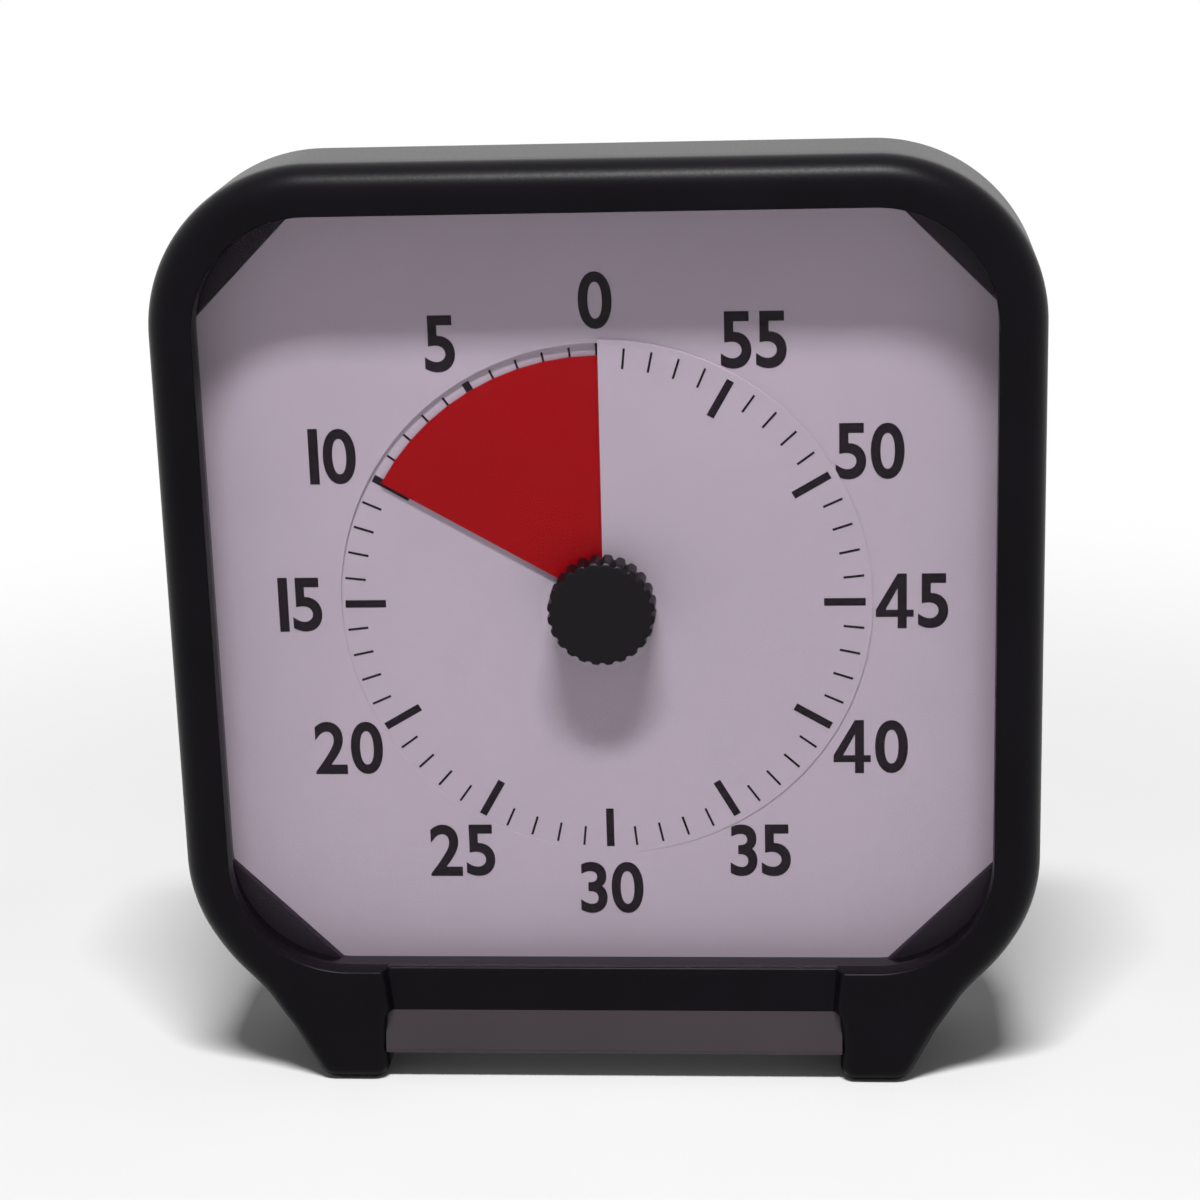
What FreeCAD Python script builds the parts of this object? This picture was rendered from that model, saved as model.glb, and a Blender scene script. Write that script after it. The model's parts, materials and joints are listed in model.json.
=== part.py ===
import FreeCAD, Part
import math
import os

# Visual countdown timer, millimetres. X is to the right seen from the front, +Y goes back, +Z is up.
# Depths are measured backwards from the front face, and minutes run anticlockwise from the top.

# Case
BODY_WIDTH = 190.0
BODY_HEIGHT = 191.0
BODY_CORNER_RADIUS = 36.0
TOTAL_DEPTH = 44.0
GROUND_GAP = 16.3
FRAME_DEPTH = 29.0
BACK_DEPTH = 40.0
FRAME_WALL = 2.5
BACK_WALL = 2.4
BACK_INSET = 1.0
FRONT_ROUND = 7.0
BACK_ROUND = 6.0

# Front opening, lens and dial seat
BEZEL_WIDTH = 10.4
BEZEL_THICKNESS = 5.0
LENS_LEDGE = 1.2
LENS_THICKNESS = 1.5
LENS_HOLE_RADIUS = 13.2
TUNNEL_WALL = 1.8
DIAL_DEPTH = 12.0
DIAL_DROP = 2.4
CORNER_PAD_THICKNESS = 1.5
CORNER_PAD_REACH = 148.0
SEAT_CLEARANCE = 0.3

# Feet and the cross bar between them
FOOT_INNER_X = 51.0
FOOT_SOLE_X = 65.8
FOOT_BEND = (72.4, 12.5)
FOOT_SHOULDER = (79.6, 23.0)
FOOT_TOP = 34.0
FOOT_INNER_ROUND = 3.5
FOOT_OUTER_ROUND = 5.0
FOOT_BEND_ROUND = 12.0
FOOT_FRONT_ROUND = 3.5
FOOT_BACK_DEPTH = 41.0
BAR_SETBACK = 3.0
BAR_THICKNESS = 3.0
APRON_FORWARD = 0.5
APRON_CLEARANCE = 6.3

# Dial plate, a shallow spiral ramp inside a flat surround, with one radial slit at zero
DIAL_THICKNESS = 2.0
RAMP_THICKNESS = 0.6
RAMP_INNER_RADIUS = 6.6
RAMP_OUTER_RADIUS = 57.0
RAMP_RIM_WIDTH = 1.6
SLIT_HALF_ANGLE = 0.3
DISK_THICKNESS = 0.4
DISK_GAP = 0.25
DISK_RADIUS = 55.0
DISK_SWEEP = 366.0
RAMP_STEPS = 60
HUB_RADIUS = 6.0
HUB_LENGTH = 2.5
HUB_LEAD = 0.35
START_ANGLE = 60.0
POST_PITCH = 96.0
POST_RADIUS = 3.5
EAR_LENGTH = 10.0
EAR_PITCH = 90.0

# Knob and setting arbor
KNOB_RADIUS = 11.75
KNOB_FRONT_DEPTH = 3.0
KNOB_BACK_DEPTH = 10.0
KNOB_FACE = 2.4
KNOB_WALL = 2.6
KNOB_BOSS_RADIUS = 4.6
KNOB_ROUND = 1.2
FLUTE_COUNT = 24
FLUTE_RADIUS = 0.9
ARBOR_KNOB_RADIUS = 2.5
ARBOR_KNOB_END = 1.6
HEX_FLATS = 5.6
HEX_CLEARANCE = 0.05
ARBOR_MAIN_RADIUS = 2.05
ARBOR_COLLAR_RADIUS = 3.0
ARBOR_COLLAR_LENGTH = 0.6
ARBOR_WHEEL_RADIUS = 1.6
ARBOR_PIVOT_RADIUS = 1.2
RUNNING_CLEARANCE = 0.05

# Movement
MOVEMENT_SIZE = 56.0
MOVEMENT_FRONT = 19.5
MOVEMENT_SPLIT = 27.0
MOVEMENT_BACK = 35.0
MOVEMENT_WALL = 1.5
MOVEMENT_ROUND = 3.0
CARRIER_THICKNESS = 1.5
CARRIER_SIZE = 106.0
CARRIER_ROUND = 8.0
BUSH_RADIUS = 4.0
BUSH_FLANGE_RADIUS = 5.5
BUSH_FLANGE_THICKNESS = 0.8
BUSH_FRONT = 15.2
NUT_FLATS = 12.0
NUT_THICKNESS = 1.8
WASHER_RADIUS = 8.0
WASHER_THICKNESS = 0.8
FIT_CLEARANCE = 0.02

# Gear train, each pair as module, pinion teeth, wheel teeth
PIVOT_RADIUS = 0.6
PIVOT_DEPTH = 0.8
PIVOT_END_PLAY = 0.1
WHEEL_THICKNESS = 0.8
PINION_LENGTH = 1.8
GEAR_STEP = 2.0
CENTRE_WHEEL_DEPTH = 22.05
CENTRE_PAIR = (0.30, 10, 80)
THIRD_PAIR = (0.30, 10, 75)
FOURTH_PAIR = (0.35, 10, 50)
FIFTH_PAIR = (0.30, 10, 60)
THIRD_DIRECTION = 225.0
FOURTH_DIRECTION = 330.0
FIFTH_DIRECTION = 20.0
ROTOR_DIRECTION = 80.0
TOOTH_FILL = 0.34
ADDENDUM = 0.8
DEDENDUM = 1.1
CENTRE_TUBE_RADIUS = 3.0
CENTRE_TUBE_LENGTH = 1.0
CLUTCH_RADIUS = 3.2
CLUTCH_THICKNESS = 0.25

# Stepping motor and circuit board
MAGNET_RADIUS = 3.0
MAGNET_LENGTH = 2.0
STATOR_GAP = 0.4
STATOR_THICKNESS = 1.0
STATOR_DEPTH = 29.7
COIL_CENTRE_Z = 15.0
COIL_LEFT = -8.0
COIL_RIGHT = 18.0
CORE_HEIGHT = 4.0
BOBBIN_WALL = 0.9
FLANGE_HEIGHT = 9.0
FLANGE_DEPTH = 5.8
FLANGE_THICKNESS = 1.0
WINDING_TRIM = 0.3
BOARD_THICKNESS = 1.0
BOARD_DEPTH = 31.9
BOARD_BOX = (-25.5, -9.2, -4.0, 24.0)
CRYSTAL_RADIUS = 1.0
CRYSTAL_LENGTH = 6.0
CHIP_RADIUS = 3.0
CHIP_THICKNESS = 0.9

# Battery compartment on the back
CELL_RADIUS = 7.25
CELL_LENGTH = 50.5
CELL_NUB_RADIUS = 2.75
CELL_NUB_LENGTH = 1.5
CELL_Z = 49.0
TRAY_HALF_LENGTH = 29.0
TRAY_HALF_HEIGHT = 8.0
TRAY_WALL = 1.5
CELL_CLEARANCE = 0.4
LID_THICKNESS = 1.7
LID_HALF_WIDTH = 31.8
LID_FLANGE = 1.4
LID_FLANGE_THICKNESS = 0.8
LID_CLEARANCE = 0.2
LID_BOTTOM = 37.2
LID_TOP = 60.0
RAIL_WIDTH = 4.0
RAIL_BOTTOM = 34.0
LID_GROOVES = 4
LID_GROOVE_PITCH = 2.4
LID_GROOVE_DEPTH = 0.5
CONTACT_THICKNESS = 0.5
CONTACT_WIDTH = 10.0
TAG_WIDTH = 3.0
TAG_LENGTH = 4.0
LEAD_RADIUS = 0.6
LEAD_BEND = 4.0
LEAD_DEPTH = 32.4
POSITIVE_ENTRY_X = -16.0
NEGATIVE_ENTRY_X = -19.5

# Sound board with its buzzer and slide switch
SOUND_Z = 48.0
SOUND_BOARD_WIDTH = 62.0
SOUND_BOARD_HEIGHT = 22.0
SOUND_BOARD_DEPTH = 31.0
SOUND_BOARD_THICKNESS = 1.2
SOUND_POST_RADIUS = 2.6
SOUND_POST_X = 26.5
BUZZER_X = -12.0
BUZZER_RADIUS = 9.0
BUZZER_THICKNESS = 4.0
SOUND_HOLE_RADIUS = 0.9
SOUND_HOLE_RING = 4.0
SWITCH_X = 12.0
SWITCH_BODY = (9.0, 4.2, 6.0)
SWITCH_TRAVEL = 3.0
SLIDER_WIDTH = 3.0
SLIDER_HEIGHT = 3.0
SLIDER_PROUD = 2.0
SLIDER_FLANGE = 0.8
SLIDER_CLEARANCE = 0.25
RIBBON_WIDTH = 6.0
RIBBON_THICKNESS = 0.6

# Screws
CASE_SCREW_RADIUS = 1.3
CASE_SCREW_HEAD_RADIUS = 2.4
CASE_SCREW_HEAD_DEPTH = 35.0
CASE_SCREW_TIP_DEPTH = 17.0
SMALL_SCREW_RADIUS = 1.1
SMALL_SCREW_HEAD_RADIUS = 2.0
SMALL_SCREW_HEAD = 1.3
SMALL_SCREW_LENGTH = 5.0
BOSS_WALL = 1.15

# Keyhole for hanging on a wall
KEYHOLE_Z = 78.0
KEYHOLE_RADIUS = 4.5
KEYHOLE_SLOT_RADIUS = 2.2
KEYHOLE_RISE = 8.0

# Places worked out from the sizes above
HALF_W = BODY_WIDTH / 2
HALF_H = BODY_HEIGHT / 2
FRONT_Y = -TOTAL_DEPTH / 2
BODY_Z = GROUND_GAP + HALF_H
DIAL_Z = BODY_Z - DIAL_DROP
LENS_DEPTH = BEZEL_THICKNESS
TUNNEL_HALF_W = HALF_W - BEZEL_WIDTH + LENS_LEDGE
TUNNEL_HALF_H = HALF_H - BEZEL_WIDTH + LENS_LEDGE
TUNNEL_RADIUS = BODY_CORNER_RADIUS - BEZEL_WIDTH + LENS_LEDGE
CHANNEL_MID = (HALF_W - FRAME_WALL + TUNNEL_HALF_W + TUNNEL_WALL) / 2
BOSS_RADIUS = (HALF_W - FRAME_WALL - TUNNEL_HALF_W - TUNNEL_WALL) / 2 + SEAT_CLEARANCE
CORNER_CENTRE_X = HALF_W - BODY_CORNER_RADIUS
CORNER_CENTRE_Z = HALF_H - BODY_CORNER_RADIUS
CORNER_BOSS_STEP = (CHANNEL_MID - CORNER_CENTRE_X) / math.sqrt(2)
RAMP_PITCH = DISK_THICKNESS + RAMP_THICKNESS + 2 * DISK_GAP
CARRIER_FRONT = MOVEMENT_FRONT - CARRIER_THICKNESS
NUT_BACK = CARRIER_FRONT - WASHER_THICKNESS
TRAY_MOUTH = TOTAL_DEPTH - LID_THICKNESS - 2 * LID_CLEARANCE
CELL_DEPTH = TRAY_MOUTH - CELL_CLEARANCE - CELL_RADIUS
TRAY_FLOOR = CELL_DEPTH - CELL_RADIUS - CELL_CLEARANCE
V = FreeCAD.Vector
BACKWARDS = V(0, 1, 0)
TINY = 1e-6


def place(x, depth, z):
    """A point at a depth behind the front face."""
    return V(x, FRONT_Y + depth, z)


def block(x0, x1, depth0, depth1, z0, z1):
    """A box between two corners."""
    return Part.makeBox(x1 - x0, depth1 - depth0, z1 - z0, place(x0, depth0, z0))


def rod(radius, depth0, depth1, x=0.0, z=DIAL_Z):
    """A round rod that lies front to back."""
    return Part.makeCylinder(radius, depth1 - depth0, place(x, depth0, z), BACKWARDS)


def tube(outer, inner, depth0, depth1, x=0.0, z=DIAL_Z):
    """A round tube that lies front to back."""
    return rod(outer, depth0, depth1, x, z).cut(rod(inner, depth0 - 1, depth1 + 1, x, z))


def hexagon(flats, depth0, depth1):
    """A hexagonal bar on the dial axis."""
    reach = flats / math.sqrt(3)
    turns = [math.radians(60 * k) for k in range(7)]
    corners = [place(reach * math.cos(a), depth0, DIAL_Z + reach * math.sin(a)) for a in turns]
    return Part.Face(Part.makePolygon(corners)).extrude(V(0, depth1 - depth0, 0))


def front_prism(points, depth0, depth1):
    """An outline of (x, z) points, carried front to back."""
    corners = [place(x, depth0, z) for x, z in points + points[:1]]
    return Part.Face(Part.makePolygon(corners)).extrude(V(0, depth1 - depth0, 0))


def side_prism(points, x0, x1):
    """An outline of (depth, z) points, carried from left to right."""
    corners = [place(x0, depth, z) for depth, z in points + points[:1]]
    return Part.Face(Part.makePolygon(corners)).extrude(V(x1 - x0, 0, 0))


def rounded_slab(half_w, half_h, radius, depth0, depth1, centre_z=BODY_Z):
    """A flat slab with four rounded corners, seen from the front."""
    slab = block(-half_w, half_w, depth0, depth1, centre_z - half_h, centre_z + half_h)
    upright = [e for e in slab.Edges if abs(e.tangentAt(e.FirstParameter).y) > 1 - TINY]
    return slab.makeFillet(radius, upright)


def body_slab(inset, depth0, depth1):
    """The case outline, drawn in evenly by an inset."""
    return rounded_slab(HALF_W - inset, HALF_H - inset, BODY_CORNER_RADIUS - inset, depth0, depth1)


def edges_at_depth(shape, depth):
    """The edges of a shape that lie flat at one depth."""
    y = FRONT_Y + depth
    return [e for e in shape.Edges if abs(e.BoundBox.YMin - y) < 1e-4 and abs(e.BoundBox.YMax - y) < 1e-4]


def both_sides(shape):
    """A shape and its mirror image across the middle."""
    return [shape, shape.mirror(V(0, 0, 0), V(1, 0, 0))]


def four_corners(half_x, half_z):
    """The four places at plus and minus two offsets from the middle of the body."""
    return [(sx * half_x, BODY_Z + sz * half_z) for sx in (-1, 1) for sz in (-1, 1)]


def foot(depth0, depth1, rounded_depth=None):
    """One right-hand foot: upright inside, flared outside, rounded at the sole."""
    outline = [(FOOT_INNER_X, FOOT_TOP), (FOOT_INNER_X, 0.0), (FOOT_SOLE_X, 0.0)]
    outline += [FOOT_BEND, FOOT_SHOULDER, (FOOT_SHOULDER[0], FOOT_TOP)]
    solid = front_prism(outline, depth0, depth1)
    rounds = [((FOOT_INNER_X, 0.0), FOOT_INNER_ROUND), ((FOOT_SOLE_X, 0.0), FOOT_OUTER_ROUND)]
    rounds.append((FOOT_BEND, FOOT_BEND_ROUND))
    for (x, z), radius in rounds:
        corner = [e for e in solid.Edges if e.Length > depth1 - depth0 - TINY
                  and e.CenterOfMass.distanceToPoint(place(x, (depth0 + depth1) / 2, z)) < 0.01]
        solid = solid.makeFillet(radius, corner)
    if rounded_depth is not None:
        solid = solid.makeFillet(FOOT_FRONT_ROUND, edges_at_depth(solid, rounded_depth))
    return solid


def corner_boss_places():
    """The four case screws, in the channel behind the rounded corners."""
    return four_corners(CORNER_CENTRE_X + CORNER_BOSS_STEP, CORNER_CENTRE_Z + CORNER_BOSS_STEP)


def dial_ear_places():
    """The four dial screws, in the channel beside the opening."""
    return four_corners(CHANNEL_MID, EAR_PITCH / 2)


def post_places():
    """The four posts behind the dial that hold the movement carrier."""
    half = POST_PITCH / 2
    return [(sx * half, DIAL_Z + sz * half) for sx in (-1, 1) for sz in (-1, 1)]


def screw(x, z, radius, head_radius, tip_depth, head_depth, head_thickness):
    """A screw put in from behind, with a cross slot in its head."""
    body = rod(radius, tip_depth, head_depth, x, z)
    body = body.fuse(rod(head_radius, head_depth, head_depth + head_thickness, x, z))
    slot = head_radius * 0.6
    arm = head_radius * 0.14
    back = head_depth + head_thickness
    cuts = [block(x - slot, x + slot, back - 0.6, back + 1, z - arm, z + arm)]
    cuts.append(block(x - arm, x + arm, back - 0.6, back + 1, z - slot, z + slot))
    return body.cut(cuts).removeSplitter()


def front_frame():
    """The front half of the case: bezel, walls, lens tunnel, corner pads, bosses and feet."""
    shell = body_slab(0, 0, FRAME_DEPTH)
    shell = shell.makeFillet(FRONT_ROUND, edges_at_depth(shell, 0))
    bar_top = GROUND_GAP + BEZEL_WIDTH
    shell = shell.cut(block(-FOOT_INNER_X, FOOT_INNER_X, -1, BAR_SETBACK, 0, bar_top))
    bar = [(BAR_SETBACK, bar_top), (BAR_SETBACK, GROUND_GAP), (APRON_FORWARD, APRON_CLEARANCE)]
    bar += [(APRON_FORWARD + BAR_THICKNESS, APRON_CLEARANCE), (BAR_SETBACK + BAR_THICKNESS, GROUND_GAP)]
    bar += [(BAR_SETBACK + BAR_THICKNESS + FRONT_ROUND, GROUND_GAP)]
    bar += [(BAR_SETBACK + BAR_THICKNESS + FRONT_ROUND, bar_top)]
    shell = shell.fuse([side_prism(bar, -FOOT_INNER_X - 1, FOOT_INNER_X + 1)])
    shell = shell.fuse(both_sides(foot(0, FRAME_DEPTH, 0)))
    shell = shell.cut(body_slab(FRAME_WALL, BEZEL_THICKNESS, FRAME_DEPTH + 1))

    tunnel_outer = rounded_slab(TUNNEL_HALF_W + TUNNEL_WALL, TUNNEL_HALF_H + TUNNEL_WALL,
                                TUNNEL_RADIUS + TUNNEL_WALL, BEZEL_THICKNESS - 1, DIAL_DEPTH)
    bosses = [rod(BOSS_RADIUS, BEZEL_THICKNESS - 1, FRAME_DEPTH, x, z) for x, z in corner_boss_places()]
    bosses += [rod(BOSS_RADIUS, BEZEL_THICKNESS - 1, DIAL_DEPTH, x, z) for x, z in dial_ear_places()]
    shell = shell.fuse([tunnel_outer] + bosses)

    window = body_slab(BEZEL_WIDTH, -1, BEZEL_THICKNESS + 1)
    tunnel = rounded_slab(TUNNEL_HALF_W, TUNNEL_HALF_H, TUNNEL_RADIUS, BEZEL_THICKNESS, DIAL_DEPTH + 1)
    pads = tunnel.common(corner_pads())
    holes = [rod(CASE_SCREW_RADIUS + FIT_CLEARANCE, CASE_SCREW_TIP_DEPTH - 1, FRAME_DEPTH + 1, x, z)
             for x, z in corner_boss_places()]
    tip = DIAL_DEPTH + DIAL_THICKNESS - SMALL_SCREW_LENGTH
    holes += [rod(SMALL_SCREW_RADIUS + FIT_CLEARANCE, tip - 1, DIAL_DEPTH + 1, x, z)
              for x, z in dial_ear_places()]
    shell = shell.cut([window, tunnel] + holes)
    return shell.fuse(pads).removeSplitter()


def corner_pads():
    """Four flat triangles that close the corners of the opening just in front of the dial."""
    depth0 = DIAL_DEPTH - CORNER_PAD_THICKNESS
    pads = []
    for side in (-1, 1):
        for rise in (-1, 1):
            corner = (side * TUNNEL_HALF_W, BODY_Z + rise * TUNNEL_HALF_H)
            span = TUNNEL_HALF_W + TUNNEL_HALF_H - CORNER_PAD_REACH
            points = [corner, (corner[0] - side * span, corner[1]), (corner[0], corner[1] - rise * span)]
            pads.append(front_prism(points, depth0, DIAL_DEPTH))
    return pads[0].fuse(pads[1:])


def lens():
    """The clear window with a round hole for the knob."""
    gap = SEAT_CLEARANCE
    sheet = rounded_slab(TUNNEL_HALF_W - gap, TUNNEL_HALF_H - gap, TUNNEL_RADIUS - gap,
                         LENS_DEPTH, LENS_DEPTH + LENS_THICKNESS)
    return sheet.cut(rod(LENS_HOLE_RADIUS, LENS_DEPTH - 1, LENS_DEPTH + LENS_THICKNESS + 1))


def ramp_depth(angle):
    """The depth of the dial's ramp: it comes forward evenly over one turn, level halfway round."""
    return DIAL_DEPTH + RAMP_PITCH / 2 - RAMP_PITCH * angle / 360.0


def disk_depth(angle):
    """The depth of the disk's front: the same ramp, one gap and one thickness in front."""
    return ramp_depth(angle) - DISK_GAP - DISK_THICKNESS


def spiral_loft(section, start, end, steps):
    """A solid through radial sections, each given as (radius, depth) points at its angle."""
    wires = []
    for k in range(steps + 1):
        angle = start + (end - start) * k / steps
        turn = math.radians(angle)
        points = [place(-r * math.sin(turn), d, DIAL_Z + r * math.cos(turn)) for r, d in section(angle)]
        wires.append(Part.makePolygon(points + points[:1]))
    return Part.makeLoft(wires, True, True)


def dial_plate():
    """The dial: a flat surround with ears and posts, and a spiral ramp slit at zero."""
    rim_radius = RAMP_OUTER_RADIUS + RAMP_RIM_WIDTH
    floor = DIAL_DEPTH + DIAL_THICKNESS

    def section(angle):
        top = ramp_depth(angle)
        return [(RAMP_INNER_RADIUS, top), (rim_radius, top), (rim_radius, floor),
                (RAMP_OUTER_RADIUS, floor), (RAMP_OUTER_RADIUS, top + RAMP_THICKNESS),
                (RAMP_INNER_RADIUS, top + RAMP_THICKNESS)]

    grow = TUNNEL_WALL - SEAT_CLEARANCE
    plate = rounded_slab(TUNNEL_HALF_W + grow, TUNNEL_HALF_H + grow, TUNNEL_RADIUS + grow,
                         DIAL_DEPTH, floor)
    ears = []
    for x, z in dial_ear_places():
        inner = math.copysign(TUNNEL_HALF_W, x)
        outer = math.copysign(HALF_W - FRAME_WALL - SEAT_CLEARANCE, x)
        half = EAR_LENGTH / 2
        ears.append(block(min(inner, outer), max(inner, outer), DIAL_DEPTH, floor, z - half, z + half))
    posts = [rod(POST_RADIUS, DIAL_DEPTH + DIAL_THICKNESS / 2, CARRIER_FRONT, x, z) for x, z in post_places()]
    plate = plate.fuse(ears + posts)
    holes = [rod(rim_radius - RAMP_RIM_WIDTH / 2, DIAL_DEPTH - 1, floor + 1)]
    holes += [rod(SMALL_SCREW_RADIUS + FIT_CLEARANCE, DIAL_DEPTH - 1, floor + 1, x, z)
              for x, z in dial_ear_places()]
    holes += [rod(SMALL_SCREW_RADIUS + FIT_CLEARANCE, floor, CARRIER_FRONT + 1, x, z)
              for x, z in post_places()]
    ramp = spiral_loft(section, SLIT_HALF_ANGLE, 360 - SLIT_HALF_ANGLE, RAMP_STEPS)
    return plate.cut(holes).fuse(ramp)


def red_disk():
    """The red disk, a full turn of the same spiral, on a sleeve that slides on the setting arbor."""

    def section(angle):
        top = disk_depth(angle)
        inner = HUB_RADIUS - SEAT_CLEARANCE
        return [(inner, top), (DISK_RADIUS, top), (DISK_RADIUS, top + DISK_THICKNESS),
                (inner, top + DISK_THICKNESS)]

    sheet = spiral_loft(section, START_ANGLE, START_ANGLE - DISK_SWEEP, RAMP_STEPS + 1)
    front = disk_depth(START_ANGLE) - HUB_LEAD
    sleeve = rod(HUB_RADIUS, front, front + HUB_LENGTH)
    sleeve = sleeve.cut(hexagon(HEX_FLATS + 2 * HEX_CLEARANCE, front - 1, front + HUB_LENGTH + 1))
    return sleeve.fuse(sheet)


def knob():
    """The fluted setting knob, hollow behind, with a boss for the arbor."""
    body = rod(KNOB_RADIUS, KNOB_FRONT_DEPTH, KNOB_BACK_DEPTH)
    body = body.makeFillet(KNOB_ROUND, edges_at_depth(body, KNOB_FRONT_DEPTH))
    flutes = []
    for k in range(FLUTE_COUNT):
        turn = 2 * math.pi * k / FLUTE_COUNT
        x = KNOB_RADIUS * math.cos(turn)
        z = DIAL_Z + KNOB_RADIUS * math.sin(turn)
        flutes.append(rod(FLUTE_RADIUS, KNOB_FRONT_DEPTH + KNOB_ROUND, KNOB_BACK_DEPTH + 1, x, z))
    hollow = tube(KNOB_RADIUS - KNOB_WALL, KNOB_BOSS_RADIUS, KNOB_FRONT_DEPTH + KNOB_FACE, KNOB_BACK_DEPTH + 1)
    bore = rod(ARBOR_KNOB_RADIUS + FIT_CLEARANCE, KNOB_FRONT_DEPTH + ARBOR_KNOB_END, KNOB_BACK_DEPTH + 1)
    return body.cut(flutes + [hollow, bore])


def setting_arbor():
    """The stepped arbor from the knob, through the bush, to its pivot behind the centre wheel."""
    collar_back = CENTRE_WHEEL_DEPTH - CLUTCH_THICKNESS - FIT_CLEARANCE
    collar_front = collar_back - ARBOR_COLLAR_LENGTH
    shoulder = CENTRE_WHEEL_DEPTH + WHEEL_THICKNESS + CENTRE_TUBE_LENGTH
    hex_back = BUSH_FRONT - SEAT_CLEARANCE
    pieces = [rod(ARBOR_KNOB_RADIUS, KNOB_FRONT_DEPTH + ARBOR_KNOB_END + FIT_CLEARANCE, KNOB_BACK_DEPTH)]
    pieces.append(hexagon(HEX_FLATS, KNOB_BACK_DEPTH, hex_back))
    pieces.append(rod(ARBOR_MAIN_RADIUS, hex_back, collar_front))
    pieces.append(rod(ARBOR_COLLAR_RADIUS, collar_front, collar_back))
    pieces.append(rod(ARBOR_WHEEL_RADIUS, collar_back, shoulder))
    pieces.append(rod(ARBOR_PIVOT_RADIUS, shoulder, pivot_back()))
    return pieces[0].fuse(pieces[1:])


def pivot_back():
    """The depth where every arbor ends, inside the back plate."""
    return MOVEMENT_BACK - MOVEMENT_WALL + PIVOT_DEPTH - PIVOT_END_PLAY


def pivot_front():
    """The depth where the small arbors start, inside the front plate."""
    return MOVEMENT_FRONT + MOVEMENT_WALL - PIVOT_DEPTH + PIVOT_END_PLAY


def toward(start, direction, distance):
    """A place at a distance from another, in the plane of the dial."""
    turn = math.radians(direction)
    return (start[0] + distance * math.cos(turn), start[1] + distance * math.sin(turn))


def pair_distance(pair):
    """The distance between the arbors of a pinion and its wheel."""
    module, pinion, wheel = pair
    return module * (pinion + wheel) / 2


def arbor_places():
    """The places of the five arbors: centre, third, fourth, fifth and rotor."""
    centre = (0.0, DIAL_Z)
    third = toward(centre, THIRD_DIRECTION, pair_distance(CENTRE_PAIR))
    fourth = toward(third, FOURTH_DIRECTION, pair_distance(THIRD_PAIR))
    fifth = toward(fourth, FIFTH_DIRECTION, pair_distance(FOURTH_PAIR))
    rotor = toward(fifth, ROTOR_DIRECTION, pair_distance(FIFTH_PAIR))
    return centre, third, fourth, fifth, rotor


def gear(module, teeth, depth0, depth1, centre, tooth_direction):
    """A spur gear with straight flanks, one tooth pointing along a direction in degrees."""
    pitch_radius = module * teeth / 2
    root = pitch_radius - DEDENDUM * module
    tip = pitch_radius + ADDENDUM * module
    step = 2 * math.pi / teeth
    half_root = step * (TOOTH_FILL + 0.12) / 2
    half_tip = step * (TOOTH_FILL - 0.12) / 2
    points = []
    for k in range(teeth):
        middle = math.radians(tooth_direction) + k * step
        for radius, shift in ((root, -half_root), (tip, -half_tip), (tip, half_tip), (root, half_root)):
            a = middle + shift
            points.append((centre[0] + radius * math.cos(a), centre[1] + radius * math.sin(a)))
    return front_prism(points, depth0, depth1)


def wheel_and_pinion(place_here, wheel_pair, wheel_depth, wheel_toward, pinion_pair, pinion_toward):
    """A wheel with its pinion on one arbor; the pinion lies just in front of the wheel."""
    x, z = place_here
    shaft = rod(PIVOT_RADIUS, pivot_front(), pivot_back(), x, z)
    module, _, teeth = wheel_pair
    half_gap = 180.0 / teeth
    wheel = gear(module, teeth, wheel_depth, wheel_depth + WHEEL_THICKNESS, place_here, wheel_toward + half_gap)
    module, teeth, _ = pinion_pair
    pinion_back = wheel_depth
    pinion = gear(module, teeth, pinion_back - PINION_LENGTH, pinion_back, place_here, pinion_toward)
    return shaft.fuse([wheel, pinion])


def train_depth(position):
    """The depth of a wheel, one step back for each place in the train."""
    return CENTRE_WHEEL_DEPTH + GEAR_STEP * position


def centre_wheel():
    """The slow wheel on the setting arbor, driven by the third pinion and held by the clutch."""
    module, _, teeth = CENTRE_PAIR
    start = train_depth(0)
    body = gear(module, teeth, start, start + WHEEL_THICKNESS, (0.0, DIAL_Z), THIRD_DIRECTION + 180.0 / teeth)
    body = body.fuse(rod(CENTRE_TUBE_RADIUS, start, start + WHEEL_THICKNESS + CENTRE_TUBE_LENGTH - FIT_CLEARANCE))
    return body.cut(rod(ARBOR_WHEEL_RADIUS + RUNNING_CLEARANCE, start - 1, start + WHEEL_THICKNESS + 5))


def third_wheel():
    """The third wheel: its pinion drives the centre wheel."""
    here = arbor_places()[1]
    return wheel_and_pinion(here, THIRD_PAIR, train_depth(1), FOURTH_DIRECTION, CENTRE_PAIR, THIRD_DIRECTION + 180)


def fourth_wheel():
    """The fourth wheel: its pinion drives the third wheel."""
    here = arbor_places()[2]
    return wheel_and_pinion(here, FOURTH_PAIR, train_depth(2), FIFTH_DIRECTION, THIRD_PAIR, FOURTH_DIRECTION + 180)


def fifth_wheel():
    """The fifth wheel: its pinion drives the fourth wheel."""
    here = arbor_places()[3]
    return wheel_and_pinion(here, FIFTH_PAIR, train_depth(3), ROTOR_DIRECTION, FOURTH_PAIR, FIFTH_DIRECTION + 180)


def rotor_pinion():
    """The rotor's arbor and pinion, which drives the fifth wheel."""
    x, z = arbor_places()[4]
    module, teeth, _ = FIFTH_PAIR
    back = train_depth(3) + WHEEL_THICKNESS + SEAT_CLEARANCE
    pinion = gear(module, teeth, back - PINION_LENGTH, back, (x, z), ROTOR_DIRECTION + 180)
    return rod(PIVOT_RADIUS, pivot_front(), pivot_back(), x, z).fuse(pinion)


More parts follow.
